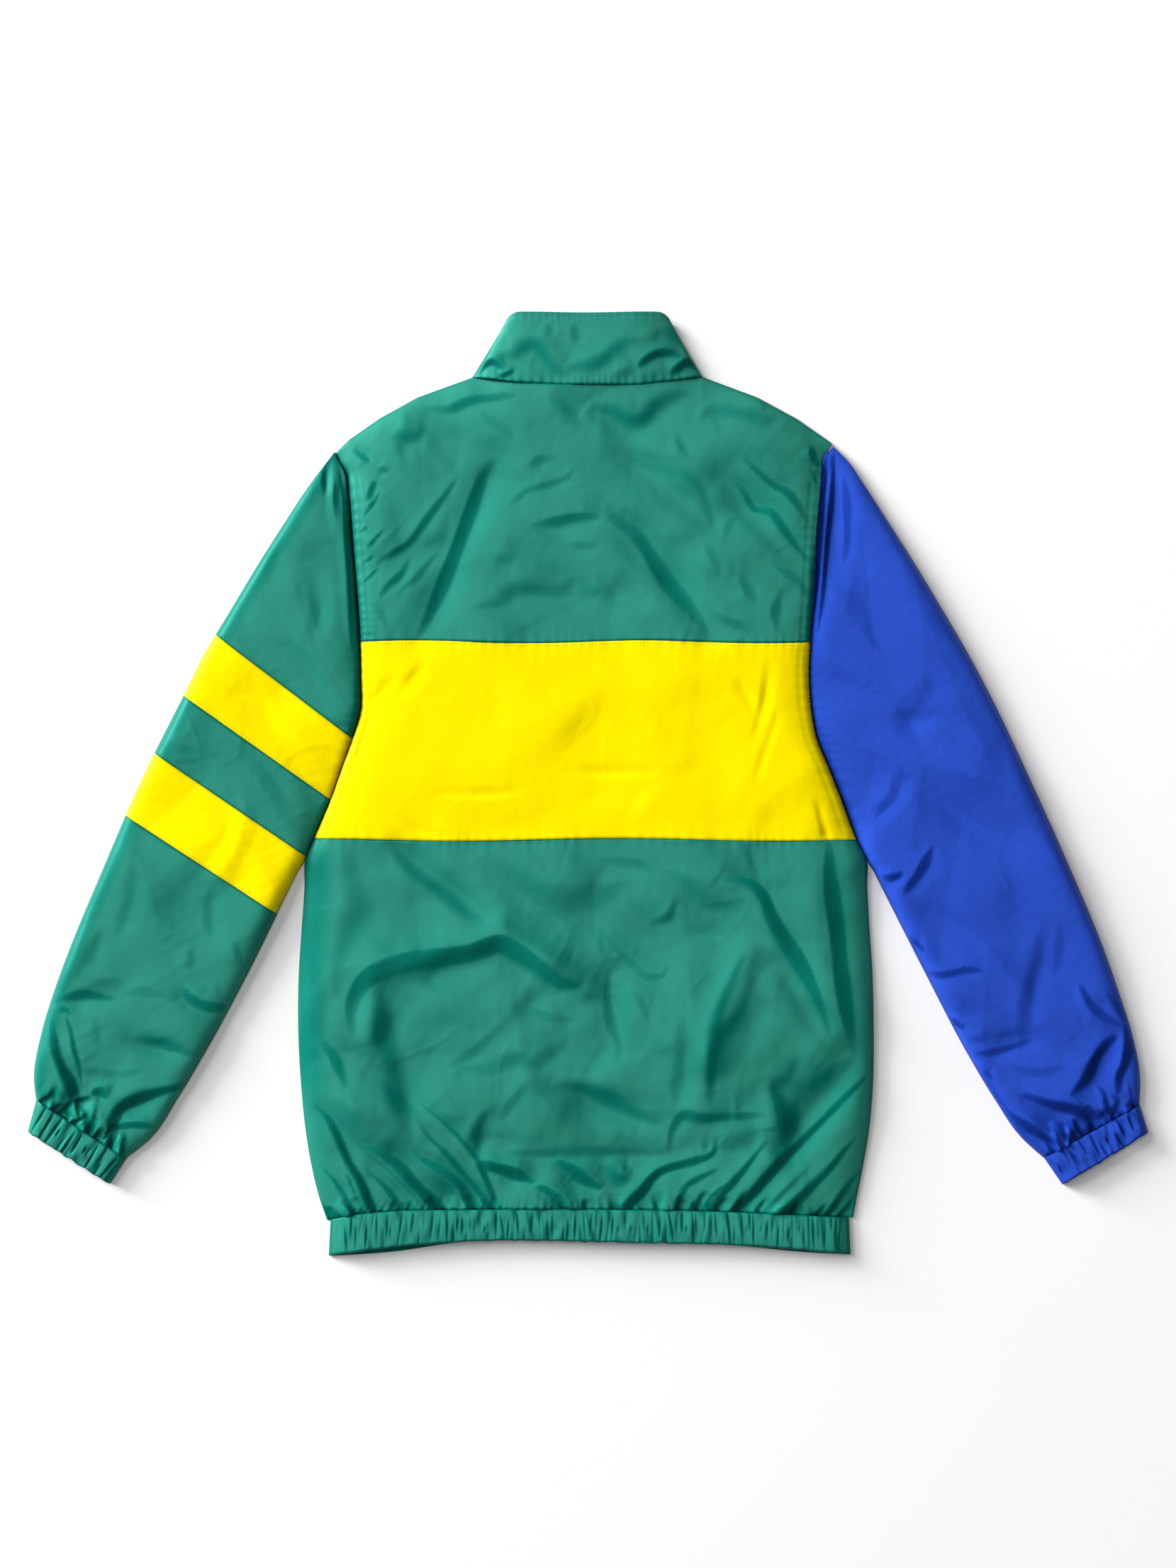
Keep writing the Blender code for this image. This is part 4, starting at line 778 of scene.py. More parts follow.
def new_object(name, spots, faces, smooth=True):
    """A new object of points and faces, the only one selected."""
    mesh = bpy.data.meshes.new(name)
    mesh.from_pydata(spots, [], faces)
    mesh.polygons.foreach_set("use_smooth", np.full(len(mesh.polygons), smooth))
    piece = bpy.data.objects.new(name, mesh)
    bpy.context.scene.collection.objects.link(piece)
    bpy.ops.object.select_all(action="DESELECT")
    piece.select_set(True)
    bpy.context.view_layer.objects.active = piece
    return piece


def change_mesh(operator, **settings):
    """Run an operator on the whole mesh of the selected object."""
    bpy.ops.object.mode_set(mode="EDIT")
    bpy.ops.mesh.select_all(action="SELECT")
    operator(**settings)
    bpy.ops.object.mode_set(mode="OBJECT")


def prism_faces(first, rings, sides):
    """Faces round a row of rings of points, closed at both ends."""
    faces = []
    for start in range(first, first + (rings - 1) * sides, sides):
        for k in range(sides):
            a, b = start + k, start + (k + 1) % sides
            faces.append((a, b, b + sides, a + sides))
    last = first + (rings - 1) * sides
    faces.append(tuple(reversed(range(first, first + sides))))
    faces.append(tuple(range(last, last + sides)))
    return faces


def keep(piece, material, nodes=()):
    """Give a piece its material and let it go with the jacket."""
    piece.data.materials.clear()
    piece.data.materials.append(material)
    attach(piece, BODY)
    if nodes:
        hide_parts(*nodes)


def leaning(x, y, z):
    """Sine of the angle between the surface and level, softened, less towards the light: how much
    painted shade the cloth gets.
    """
    spots = np.stack((x, y, z), -1)
    normal = np.cross(np.gradient(spots, axis=1), np.gradient(spots, axis=0))
    normal = normal * np.sign(normal[..., 2:]) / np.maximum(
        np.linalg.norm(normal, axis=-1, keepdims=True), 1e-9)
    lean = np.hypot(normal[..., 0], normal[..., 1])
    away = normal[..., 0] * FROM_LIGHT[0] + normal[..., 1] * FROM_LIGHT[1]
    away = away / np.maximum(lean, 1e-6)
    lean = lean * (0.7 + 0.3 * away)
    lean[1:-1, 1:-1] = (4 * lean[1:-1, 1:-1] + lean[:-2, 1:-1] + lean[2:, 1:-1]
                        + lean[1:-1, :-2] + lean[1:-1, 2:]) / 8
    return lean


def make_cloth(name, material, x, y, z, near, form=0.0, slope=0.0, thickness=CLOTH, tube=False):
    """A thin shell through a grid of points, which are its outer face.

    For its painted shade, near is the distance of each point to the nearest seam,
    form the height of the cloth without its folds, and slope that of its falls.
    """
    rows, columns = x.shape
    spots = np.stack((x, y, z), -1).reshape(-1, 3) * MM
    index = np.arange(rows * columns).reshape(rows, columns)
    if tube:
        index[:, -1] = index[:, 0]
    quads = np.stack((index[:-1, :-1], index[:-1, 1:], index[1:, 1:], index[1:, :-1]), -1)
    piece = new_object(name + "_cloth", spots.tolist(), quads.reshape(-1, 4).tolist())
    mesh = piece.data
    across, _ = run_along(x[rows // 2][None] * MM, y[rows // 2][None] * MM, 1)
    along, _ = run_along(x[:, columns // 2][:, None] * MM, y[:, columns // 2][:, None] * MM, 0)
    grid_u, grid_v = np.broadcast_arrays(across, along)
    corner_i = np.stack((np.arange(columns - 1), np.arange(1, columns),
                         np.arange(1, columns), np.arange(columns - 1)), -1)[None]
    corner_j = np.arange(rows - 1)[:, None, None] + np.array((0, 0, 1, 1))[None, None]
    uvs = np.stack((grid_u[corner_j, corner_i], grid_v[corner_j, corner_i]), -1)
    layer = mesh.uv_layers.new(name="cloth")
    layer.data.foreach_set("uv", uvs.reshape(-1))
    # Painted shade: lean darkens the cloth where it leans from level, more so away from the light,
    # and seam darkens it next to seams
    lean = np.maximum(leaning(x, y, z - form), slope)
    for label, values in (("seam", np.exp(-(near / 1.0) ** 2)), ("lean", lean)):
        layer = mesh.attributes.new(label, "FLOAT", "POINT")
        layer.data.foreach_set("value", values.reshape(-1).astype(np.float32))
    if tube:
        change_mesh(bpy.ops.mesh.delete_loose, use_verts=True, use_edges=True, use_faces=False)
    wall = piece.modifiers.new("wall", "SOLIDIFY")
    wall.thickness = thickness * MM
    wall.offset = -1
    wall.use_even_offset = False
    bpy.ops.object.modifier_apply(modifier="wall")
    spots = np.empty(len(mesh.vertices) * 3)
    mesh.vertices.foreach_get("co", spots)
    spots[2::3] = np.maximum(spots[2::3], 0)
    mesh.vertices.foreach_set("co", spots)
    keep(piece, material, nodes=STRETCHES.get(name, (name,)))


# ------------------------------------------------------------------- sewing

stitch_lines = {}


def sew(colour, x, y, z, pitch=STITCH_PITCH):
    """Note a line of stitches through these points, to be made at the end."""
    stitch_lines.setdefault(colour, []).append((np.stack((x, y, z), -1), pitch))


def row_at(away, distance):
    """The grid line nearest to a distance from its edge."""
    middle = away[:, away.shape[1] // 2]
    return int(np.argmin(np.abs(middle - distance)))


def sew_row(colour, grids, row, shown, pitch=STITCH_PITCH):
    """Stitches along one line of the grids x, y and z, where it is shown."""
    sew(colour, *(grid[row][shown] for grid in grids), pitch=pitch)


def make_stitches(name, material, lines):
    """Short raised threads along lines, each a rounded bar that dips at its ends."""
    verts, faces = [], []
    rings = ((-0.5, 0.35, -0.10), (-0.34, 0.95, 0.08), (0.0, 1.0, 0.14), (0.34, 0.95, 0.08),
             (0.5, 0.35, -0.10))
    sides = 6
    for line, pitch in lines:
        steps = np.linalg.norm(np.diff(line, axis=0), axis=1)
        done = np.concatenate(([0.0], np.cumsum(steps)))
        for middle in np.arange(pitch / 2, done[-1] - pitch / 2, pitch):
            spot = np.array([np.interp(middle, done, line[:, k]) for k in range(3)])
            ahead = np.array([np.interp(middle + 0.9, done, line[:, k]) for k in range(3)])
            run = ahead - spot
            run = run / max(np.linalg.norm(run), 1e-6)
            aside = np.array((-run[1], run[0], 0.0))
            first = len(verts)
            for along, size, lift in rings:
                for k in range(sides):
                    turn = 2 * math.pi * k / sides
                    out = aside * math.cos(turn) * size * STITCH_WIDTH / 2
                    point = spot + run * along * STITCH_LENGTH + out
                    point = point + np.array((0, 0, lift + math.sin(turn) * size * 0.16))
                    verts.append(tuple(point * MM))
            faces += prism_faces(first, len(rings), sides)
    piece = new_object(name, verts, faces)
    change_mesh(bpy.ops.mesh.normals_make_consistent, inside=False)
    keep(piece, material)


# ----------------------------------------------------------------- the back

def seam_line(start, end):
    """The start, the length and the direction of a straight seam."""
    start, end = np.array(start, dtype=float), np.array(end, dtype=float)
    width = np.linalg.norm(end - start)
    return start, width, (end - start) / width


def tucks_from(start, end, spread, pitch, rise, long, seed):
    """Creases that a gathered edge sends up into the cloth, uneven and fanned out.

    start and end are the ends of the gathered seam, and spread is how far the
    outer tucks lean apart, as sideways over upwards.
    """
    numbers = np.random.default_rng(seed)
    start, width, run = seam_line(start, end)
    up = np.array((-run[1], run[0]))
    found, done = [], pitch * 0.5
    while done < width - pitch * 0.3:
        share = done / width
        reach = long * numbers.uniform(0.3, 1.0) ** 1.6 * 1.6
        fan = spread * (1 - 2 * share) + numbers.normal(0, 0.22)
        root = start + run * done - up * 2.0
        bend = numbers.normal(0, 0.10) * reach
        middle = root + up * reach * 0.5 - run * (fan * reach * 0.5 + bend)
        tip = root + up * reach - run * fan * reach
        size = (0.55 + 0.6 * reach / long) * numbers.uniform(0.7, 1.2)
        sign = -1 if numbers.uniform() < 0.72 else 0.8
        found.append(Crease((tuple(tip), tuple(middle), tuple(root)), 1.3 + 1.7 * reach / long,
                            sign * rise * size, -0.45 * np.sign(fan), 1))
        done += pitch * numbers.uniform(0.45, 1.5)
    return found


def pleats_across(start, end, depth, pitch, rise, seed):
    """Narrow troughs down a gathered strip of this depth below its seam, leaning at random."""
    numbers = np.random.default_rng(seed)
    start, width, run = seam_line(start, end)
    down = np.array((run[1], -run[0]))
    found, done = [], pitch * 0.4
    while done < width - pitch * 0.3:
        top = numbers.choice((-3.0, -3.0, 0.1 * depth, 0.35 * depth))
        bottom = numbers.choice((depth + 4, depth + 4, 0.85 * depth, 0.6 * depth))
        slant = numbers.normal(0, 0.08)
        middle = 0.5 * (top + bottom)
        path = [start + run * (done + slant * (at - middle)) + down * at
                for at in (top, middle, bottom)]
        size = numbers.uniform(0.45, 1.25)
        found.append(Crease(tuple(tuple(spot) for spot in path), numbers.uniform(0.6, 1.1),
                            -rise * size, numbers.uniform(-0.4, 0.4), 0))
        done += pitch * numbers.uniform(0.5, 1.6)
    return found


HEM_PLEATS = pleats_across((-214, -363.5), (216, -363.5), 27.0, HEM_PITCH * 0.6, HEM_RELIEF, 8)
HEM_TUCKS = tucks_from((-221, -368), (223, -368), 0.9, HEM_PITCH, HEM_TUCK, 17.0, 5)


def hem_swell(x, y):
    """Small round swells right above the hem seam, between the tucks."""
    up = np.maximum(y - hem_seam(x), 0)
    tuck = gather(x + 0.004 * x * up, 1.0, HEM_PITCH, 0.7) - 0.4
    end = step_up(np.minimum(x + 222, 226 - x), 6, 20)
    return 1.5 * tuck * np.exp(-up / 5.0) * end


def back_form(x, y):
    """Top of the back without its folds."""
    full, rise = body_height(y), body_rise(y)
    left, right = x - body_left(y), body_right(y) - x
    height = full - (full - rise) * (np.exp(-np.abs(left) / BODY_REACH)
                                     + np.exp(-np.abs(right) / BODY_REACH))
    drop = np.maximum(top_y(x) - y, 0)
    return eased(height, np.minimum(top_rise(x), height), drop, TOP_REACH)


def back_height(x, y):
    """Top of the back, with its folds, creases, tucks and seam valleys."""
    left, right = x - body_left(y), body_right(y) - x
    drop = np.maximum(top_y(x) - y, 0)
    height = back_form(x, y)
    inside = np.maximum(np.minimum(left, right), 0)
    fade = 1 - np.exp(-np.minimum(inside, drop + 12) / 14)
    height = height + fold_rise(x, y) * fade
    soft = 1 - np.exp(-np.minimum(inside, drop + 5) / 5)
    lower = 0.8 + 0.3 * step_up(-y, 60, 200)
    lower = lower * np.where((y < band_top_y(x)) & (y > band_bottom_y(x)), 0.55, 1.0)
    height = height + (0.6 * creases_rise(BAND_CREASES, x, y) + falls_rise(BACK_FALLS, x, y)
                       + lower * crumple(x, y, 3)) * soft
    height = height + hem_swell(x, y) + creases_rise(HEM_TUCKS, x, y) * step_up(inside, 0, 5)
    for seam_y, seed in ((band_top_y(x), 1.0), (band_bottom_y(x), 2.0)):
        height = height + pucker(x, np.abs(y - seam_y), seed, pitch=11.0, rise=0.16)
    joined = along_armhole(y, 32, 22)
    for away, seed, sunk in ((np.maximum(left, 0), 3.0, joined),
                             (np.maximum(right, 0), 4.0, joined * (1 - step_up(y, 170, 215)))):
        height = height - sunk * valley(away, 1.2, 5.0)
        height = height + joined * pucker(y, away, seed, pitch=9.0, rise=0.35, reach=7.0)
        height = height - joined * 0.5 * np.exp(-((away - 9.0) / 0.9) ** 2)
    open_side = step_up(-y, 58, 70)
    height = np.maximum(height, 2.6)
    height = height * (1 - open_side) + open_side * rolled(height, inside)
    shoulder = (x < NECK_LEFT) | (x > NECK_RIGHT)
    return np.where(shoulder, rolled(height, drop * 0.88), height)


# Where the upper back's columns lie: more of them at the neck than at the shoulders
NECK_COLUMNS = 210
NECK_SHARES = ((0.0, 0.0), (60 / NECK_COLUMNS, 0.277), (150 / NECK_COLUMNS, 0.739), (1.0, 1.0))


def make_back_piece(name, material, low_of_x, high_of_x, across, up, thread):
    """A panel of the back between two lines across it."""
    share, v = np.meshgrid(across, up)
    x = body_left(0) + (body_right(0) - body_left(0)) * share
    for _ in range(5):
        low, high = low_of_x(x) + SEAM, high_of_x(x) - SEAM
        y = low + (high - low) * v
        left, right = body_left(y) + SEAM, body_right(y) - SEAM
        x = left + (right - left) * share
    below, above = run_along(x, y, 0)
    from_left, from_right = run_along(x, y, 1)
    z = back_height(x, y)
    sewn_above = high_of_x is not top_y
    neck = (x > NECK_LEFT) & (x < NECK_RIGHT)
    z = z + groove(below) + np.where(neck | sewn_above, groove(above), 0)
    joined = along_armhole(y, 12, 14)
    z = z + (groove(from_left) + groove(from_right)) * joined
    near = np.minimum(np.minimum(below, above), np.minimum(from_left, from_right))
    # Painted shade along the left edge, which faces the light, below the underarm and weaker near
    # the hem, and painted shade from the falls
    shaded = LEFT_EDGE_PAINTED_SHADE * (1 - step_up(from_left, 12, 34)) * (1 - step_up(y, -70, -40))
    shaded = shaded * (0.4 + 0.6 * step_up(y, -310, -230))
    make_cloth(name, material, x, y, z, near, form=back_form(x, y),
               slope=np.maximum(steepest(BACK_FALLS, x, y), shaded))
    row = row_at(above, STITCH_INSET if sewn_above else STITCH_INSET + 0.3)
    inner = (x[row] > NECK_LEFT - 2) & (x[row] < NECK_RIGHT + 2)
    sew_row(thread, (x, y, z), row, inner | sewn_above)
    for away in (from_left, from_right):
        side = row_at(away.T, STITCH_INSET)
        sewn = (y[:, side] > ARMHOLE_LOW + 2) & (y[:, side] < ARMHOLE_HIGH - 8)
        if sewn.sum() > 4:
            sew_row(thread, (x.T, y.T, z.T), side, sewn)


def make_front(name, material, side):
    """One front, flat under the back, from its side seam to the zip."""
    edge = body_left if side < 0 else body_right
    count = 66
    from_side = np.linspace(0, 1, count + 1)
    if side > 0:
        from_side = from_side[::-1]
    share, up = np.meshgrid(from_side, spaced(650, 6.5))
    x = np.full(share.shape, side * 120.0)
    for _ in range(7):
        low, high = hem_seam(x) + SEAM, front_top_y(x) - 0.8
        y = low + (high - low) * up
        start = edge(y) - side * SEAM
        x = start + (side * FRONT_EDGE - start) * share
    below, above = run_along(x, y, 0)
    first, last = run_along(x, y, 1)
    near = np.minimum(np.minimum(below, above), np.minimum(first, last))
    make_cloth(name, material, x, y, FLAT_CLOTH + tab_lift(x, y), near, thickness=FLAT_CLOTH)


# ------------------------------------------------------- strips with folds

def fold_stations(scale=1.0):
    """Across, shift and level round a left fold, from the lower layer up."""
    return [(0.0, inset * scale, level) for inset, level in FOLD_ROUND]


def turned(stations):
    """The same fold at the right, from the upper layer down."""
    return [(1.0, -shift, level) for _, shift, level in reversed(stations)]


def flat_stations(first, last, count, level):
    """Across, shift and level along one layer."""
    return [(across, 0.0, level) for across in np.linspace(first, last, count)]


def strip_grid(stations, up):
    """Across, shift, level and v of each grid point."""
    across, shift, level = (np.array(values) for values in zip(*stations))
    grid = [np.broadcast_to(values, (len(up), len(stations))) for values in
            (across, shift, level)]
    return grid + [np.broadcast_to(np.array(up)[:, None], (len(up), len(stations)))]


def make_hem_band(material):
    """A gathered strip from the zip round the back and again to the zip."""
    zip_half = FRONT_EDGE / HEM_SPAN
    stations = (flat_stations(HEM_MIDDLE - zip_half, 0.03, 26, 0.0) + fold_stations(0.4)
                + flat_stations(0.006, 0.994, 620, 1.0) + turned(fold_stations(0.4))
                + flat_stations(0.97, HEM_MIDDLE + zip_half, 26, 0.0))
    across, shift, level, v = strip_grid(stations, spaced(28, 2.0))
    left = HEM_LEFT - HEM_FLARE * (1 - v)
    right = HEM_RIGHT + HEM_FLARE * (1 - v)
    x = left + (right - left) * across + shift
    upper = level >= 1
    pleat = 0.5 + 0.25 * waves(x, 10 * v, 9.0, 6)
    bottom = hem_front_edge(x) + (hem_back_edge(x) - hem_front_edge(x)) * level
    bottom = bottom + np.where(upper, 0.9 * (pleat - 0.4), 0)
    y = bottom + (hem_seam(x) - SEAM - bottom) * v
    near_end = np.minimum(np.abs(x - left), np.abs(right - x))
    form = eased(HEM_HEIGHT, FOLD_HEIGHT, near_end, BODY_REACH)
    z = form + (0.8 + pleat + creases_rise(HEM_PLEATS, x, y)) * step_up(near_end, 3, 14)
    z = z + 0.5 * np.sin(np.pi * v)
    below, above = run_along(x, y, 0)
    z = z + groove(above)
    z = rolled(z, below, low=z - 1.6, radius=1.8)
    z = np.where(upper, z, level * FOLD_HEIGHT)
    # The lower layer, which the back's edge shades, gets painted shade through near and slope
    near = np.where(upper, np.minimum(above, below * 1.6), 0.5)
    make_cloth("hem_band", material, x, y, z, near, form=np.where(upper, form, FOLD_HEIGHT),
               slope=np.where(upper, 0, 0.5))


def cuff_ends(side, v):
    """The left and the right edge of a cuff at each v, from its opening to its seam."""
    cuff = CUFFS[side]
    ends = []
    for seam, opening in ((cuff.seam_outer, cuff.open_outer),
                          (cuff.seam_inner, cuff.open_inner)):
        ends.append([seam[k] * v + opening[k] * (1 - v) for k in (0, 1)])
    return ends if side < 0 else ends[::-1]


def make_cuff(name, material, side):
    """A gathered ring at the end of a sleeve."""
    stations = (fold_stations(0.4) + flat_stations(0.03, 0.97, 190, 1.0)
                + turned(fold_stations(0.4)) + flat_stations(0.93, 0.07, 14, 0.0))
    stations = stations + stations[:1]
    across, shift, level, v = strip_grid(stations, spaced(29, 1.7))
    (left_x, left_y), (right_x, right_y) = cuff_ends(side, v)
    width = np.hypot(right_x - left_x, right_y - left_y)
    to_x, to_y = (right_x - left_x) / width, (right_y - left_y) / width
    along = across * width + shift
    pleat = 0.5 + 0.25 * waves(across * 88, 10 * v, 9.0, 4 + side)
    upper = level >= 1
    down = 0.25 + np.where(upper, 1.1 * (0.45 - pleat) * (1 - v) ** 3, 0)
    x = left_x + to_x * along + to_y * down
    y = left_y + to_y * along - to_x * down
    near_end = np.minimum(along, width - along)
    form = eased(CUFF_HEIGHT, FOLD_HEIGHT, near_end, SLEEVE_REACH)
    z = form + (0.8 + pleat + creases_rise(CUFF_PLEATS[side], x, y)) * step_up(near_end, 0, 6)
    below, above = run_along(x, y, 0)
    z = z + groove(above)
    z = rolled(z, below, low=z - 1.5, radius=1.8)
    z = np.where(upper, z, level * FOLD_HEIGHT)
    make_cloth(name, material, x, y, z, np.minimum(above, below * 1.6),
               form=np.where(upper, form, FOLD_HEIGHT), tube=True)


def collar_points(across, shift, level, v):
    """Where the collar's points lie, and how far they are from its folds at the sides."""
    bottom_left, bottom_right = NECK_LEFT - 0.5, NECK_RIGHT + 0.5
    left = bottom_left + (COLLAR_TOP_LEFT - bottom_left) * v
    right = bottom_right + (COLLAR_TOP_RIGHT - bottom_right) * v
    x = left + (right - left) * across + shift
    at_zip = (np.abs(across - 0.5) < 0.06) & (level == 0)
    x = np.where(at_zip, np.copysign(FRONT_EDGE, x), x)
    neck_x = bottom_left + (bottom_right - bottom_left) * across + shift
    lower, upper_line = front_top_y(neck_x), top_y(neck_x)
    from_fold = np.maximum(np.minimum(x - left, right - x), 0)
    inwards = np.minimum(from_fold, COLLAR_CORNER) / COLLAR_CORNER
    corner = COLLAR_CORNER * (1 - np.sqrt(1 - (1 - inwards) ** 2))
    sink = 1.2 * np.exp(-(x / 40) ** 2)
    head_upper = COLLAR_TOP_Y - corner - sink
    head_lower = 356 + 34 * np.abs(2 * across - 1) ** FRONT_NECK_SLOPE
    bottom = lower + (upper_line - lower) * level + SEAM
    head = head_lower + (head_upper - head_lower) * level
    return x, bottom + (head - bottom) * v, from_fold


def make_collar(material):
    """The stand collar, folded at the sides of the neck."""
    lower_half = 0.5 - (FRONT_EDGE + 0.6) / (NECK_RIGHT - NECK_LEFT + 1)
    stations = (flat_stations(lower_half, 0.05, 22, 0.0) + fold_stations()
                + flat_stations(0.02, 0.98, 120, 1.0) + turned(fold_stations())
                + flat_stations(0.95, 1 - lower_half, 22, 0.0))
    across, shift, level, v = strip_grid(stations, spaced(60, 1.9))
    x, y, from_fold = collar_points(across, shift, level, v)
    upper = level >= 1
    form = eased(COLLAR_HEIGHT, FOLD_HEIGHT + 0.2, from_fold, 16)
    inner = 1 - np.exp(-from_fold / 4)
    below, above = run_along(x, y, 0)
    z = form + (falls_rise(COLLAR_FALLS, x, y) + 0.8 * crumple(x, y, 11)
             + pucker(x, below, 6.0, pitch=7.0, rise=0.3)
             + pucker(x, above, 7.0, pitch=6.0, rise=0.12)) * inner
    z = z + groove(below) - 0.25 * np.exp(-((above - COLLAR_STITCH_INSET) / 0.9) ** 2)
    z = rolled(z, above, low=z - 2.0, radius=2.2)
    z = np.where(upper, z, level * FOLD_HEIGHT + tab_lift(x, y) * (1 - level))
    # The falls give the upper layer painted shade through slope
    make_cloth("collar", material, x, y, z, np.minimum(below, above * 1.6),
               form=np.where(upper, form, FOLD_HEIGHT),
               slope=upper * steepest(COLLAR_FALLS, x, y))
    row = row_at(above, COLLAR_STITCH_INSET)
    sew_row("green", (x, y, z), row, upper[row], pitch=2.6)


# ------------------------------------------------------------------ sleeves

# By side: -1 is the left sleeve, 1 the right
SLEEVE_LENGTHS = {-1: 640.0, 1: 655.0}
SLEEVE_CREASES = {-1: LEFT_SLEEVE_CREASES, 1: RIGHT_SLEEVE_CREASES}
SLEEVE_FALLS = {-1: LEFT_SLEEVE_FALLS, 1: RIGHT_SLEEVE_FALLS}
CUFF_TUCKS = {
    -1: tucks_from(CUFFS[-1].seam_outer, CUFFS[-1].seam_inner, -0.5, 7.6, CUFF_TUCK, 19.0, 21),
    1: tucks_from(CUFFS[1].seam_inner, CUFFS[1].seam_outer, -0.5, 7.6, CUFF_TUCK, 19.0, 34),
}
CUFF_PLEATS = {
    -1: pleats_across(CUFFS[-1].seam_outer, CUFFS[-1].seam_inner, 27.0, CUFF_PITCH * 0.8,
                      CUFF_RELIEF, 12),
    1: pleats_across(CUFFS[1].seam_inner, CUFFS[1].seam_outer, 27.0, CUFF_PITCH * 1.05,
                     CUFF_RELIEF, 15),
}


def cuff_swell(side, x, y):
    """Round swells right above a cuff's seam."""
    outer, width, run = seam_line(CUFFS[side].seam_outer, CUFFS[side].seam_inner)
    along = (x - outer[0]) * run[0] + (y - outer[1]) * run[1]
    up = np.abs((x - outer[0]) * run[1] - (y - outer[1]) * run[0])
    tuck = gather(along * 88 / width, 1.0, 1.4 * CUFF_PITCH, 2.4 + side) - 0.4
    return 2.6 * tuck * np.exp(-up / 8.0)


def at_sections(v, name):
    """One value of the sleeve's sections at each v, straight between them."""
    return np.interp(v, np.arange(len(SLEEVE_SECTIONS)), column(SLEEVE_SECTIONS, name))


def sleeve_lines(side, v):
    """Where the sections v start at the inner edge, which way they run and how far."""
    head = HEAD_RISES[side] * np.maximum(0, 1 - v / 2)
    outer_y = at_sections(v, "outer_y") + head
    inner_y = at_sections(v, "inner_y") + head
    if side > 0:
        outer_y = outer_y - CUFF_SLANT * np.maximum(0, v - LAST_SECTION + 1)
    armhole = body_left if side < 0 else body_right
    inner_x, edge_x = sleeve_inner[side](inner_y), armhole(inner_y)
    meeting = 1 - step_up(v, UNDERARM_SECTION, UNDERARM_SECTION + 0.5)
    inner_x = inner_x + (edge_x - inner_x) * meeting + side * SEAM
    outer_x = sleeve_outer[side](outer_y)
    width = np.hypot(outer_x - inner_x, outer_y - inner_y)
    return inner_x, inner_y, (outer_x - inner_x) / width, (outer_y - inner_y) / width, width


def sleeve_form(v, edge, from_inner, from_outer):
    """Top of a sleeve without its folds, where edge is its height at the armhole."""
    full = at_sections(v, "height")
    base = eased(full, FOLD_HEIGHT, from_outer, SLEEVE_REACH)
    shut = eased(base, FOLD_HEIGHT, from_inner, SLEEVE_REACH)
    mouth = SLEEVE_MOUTH_REACH + (SLEEVE_REACH - SLEEVE_MOUTH_REACH) * step_up(v, 6.5, 9.0)
    joined = eased(base, edge, from_inner, mouth)
    return np.where(v >= UNDERARM_SECTION, shut, joined)


def sleeve_height(side, v, x, y, form, from_inner, from_outer):
    """Top of a sleeve, with its folds, creases, tucks and the valley at the armhole."""
    inside = np.minimum(from_inner, from_outer)
    height = form + fold_rise(x, y) * (1 - np.exp(-inside / 14))
    soft = 1 - np.exp(-inside / 4)
    height = height + (creases_rise(SLEEVE_CREASES[side], x, y)
                       + falls_rise(SLEEVE_FALLS[side], x, y)
                       + 0.9 * crumple(x, y, 20 + side)) * soft
    tucks = cuff_swell(side, x, y) + creases_rise(CUFF_TUCKS[side], x, y)
    height = height + tucks * step_up(inside, 0, 6)
    sewn = (1 - step_up(v, 7.6, 9.0)) * step_up(v, 0.15, 0.8)
    sunk = sewn * (1 - (step_up(-v, -3.6, -2.0) if side > 0 else 0))
    height = height - sunk * valley(from_inner, 1.4, 4.0)
    if side > 0:
        top = step_up(v, 0.1, 0.5) * (1 - step_up(v, 1.6, 3.4))
        reach = 10.0 - 5.0 * step_up(v, 0.8, 3.0)
        wall = 1 - np.exp(-(from_inner / 0.25) ** 2)
        height = height - top * 6.0 * (1 - step_up(from_inner, 0.25 * reach, reach)) * wall
    height = height + sewn * pucker(y, from_inner, 3.0 + 0.5 * (side + 1), pitch=9.0,
                                    rise=0.35, reach=7.0)
    return np.maximum(height, np.where(v >= UNDERARM_SECTION, FOLD_HEIGHT, 2.2))


def sleeve_grid(side, stations, v):
    """A sleeve's outer face at the sections v: points, form, distances to its edges, top."""
    across, shift, level = (np.array(values)[None] for values in zip(*stations))
    v = np.array(v)[:, None]
    inner_x, inner_y, to_x, to_y, width = sleeve_lines(side, v)
    from_inner = across * width + shift * np.minimum(1, width / 70)
    from_outer = width - from_inner
    x, y = inner_x + to_x * from_inner, inner_y + to_y * from_inner
    edge = body_rise(inner_y)
    form = sleeve_form(v, edge, from_inner, from_outer)
    height = sleeve_height(side, v, x, y, form, from_inner, from_outer)
    folded = (v >= UNDERARM_SECTION) | (across > 0.5)
    ring = np.where(folded, level * FOLD_HEIGHT, level * np.minimum(edge, height))
    upper = np.broadcast_to(level >= 1, x.shape)
    z = np.where(upper, height, ring)
    return x, y, z, np.where(upper, form, FOLD_HEIGHT), from_inner, from_outer, upper


def sleeve_stations(closed):
    """Stations from the lower inner end, out, round and back above."""
    lower = flat_stations(0.08, 0.94, 11, 0.0)
    outer = turned(fold_stations())[::-1]
    upper = flat_stations(0.985, 0.015, 84, 1.0)
    if closed:
        inner = fold_stations()[::-1]
        start = [station for station in inner if station[2] < 0.6]
        finish = [station for station in inner if station[2] > 0.5]
    else:
        start = [(0.0, step, 0.0) for step in (0.0, 0.3, 0.9, 1.8, 3.0, 5.0)]
        finish = [(0.0, step, 1.0) for step in (0.9, 0.4, 0.0)]
    return start + lower + outer + upper + finish


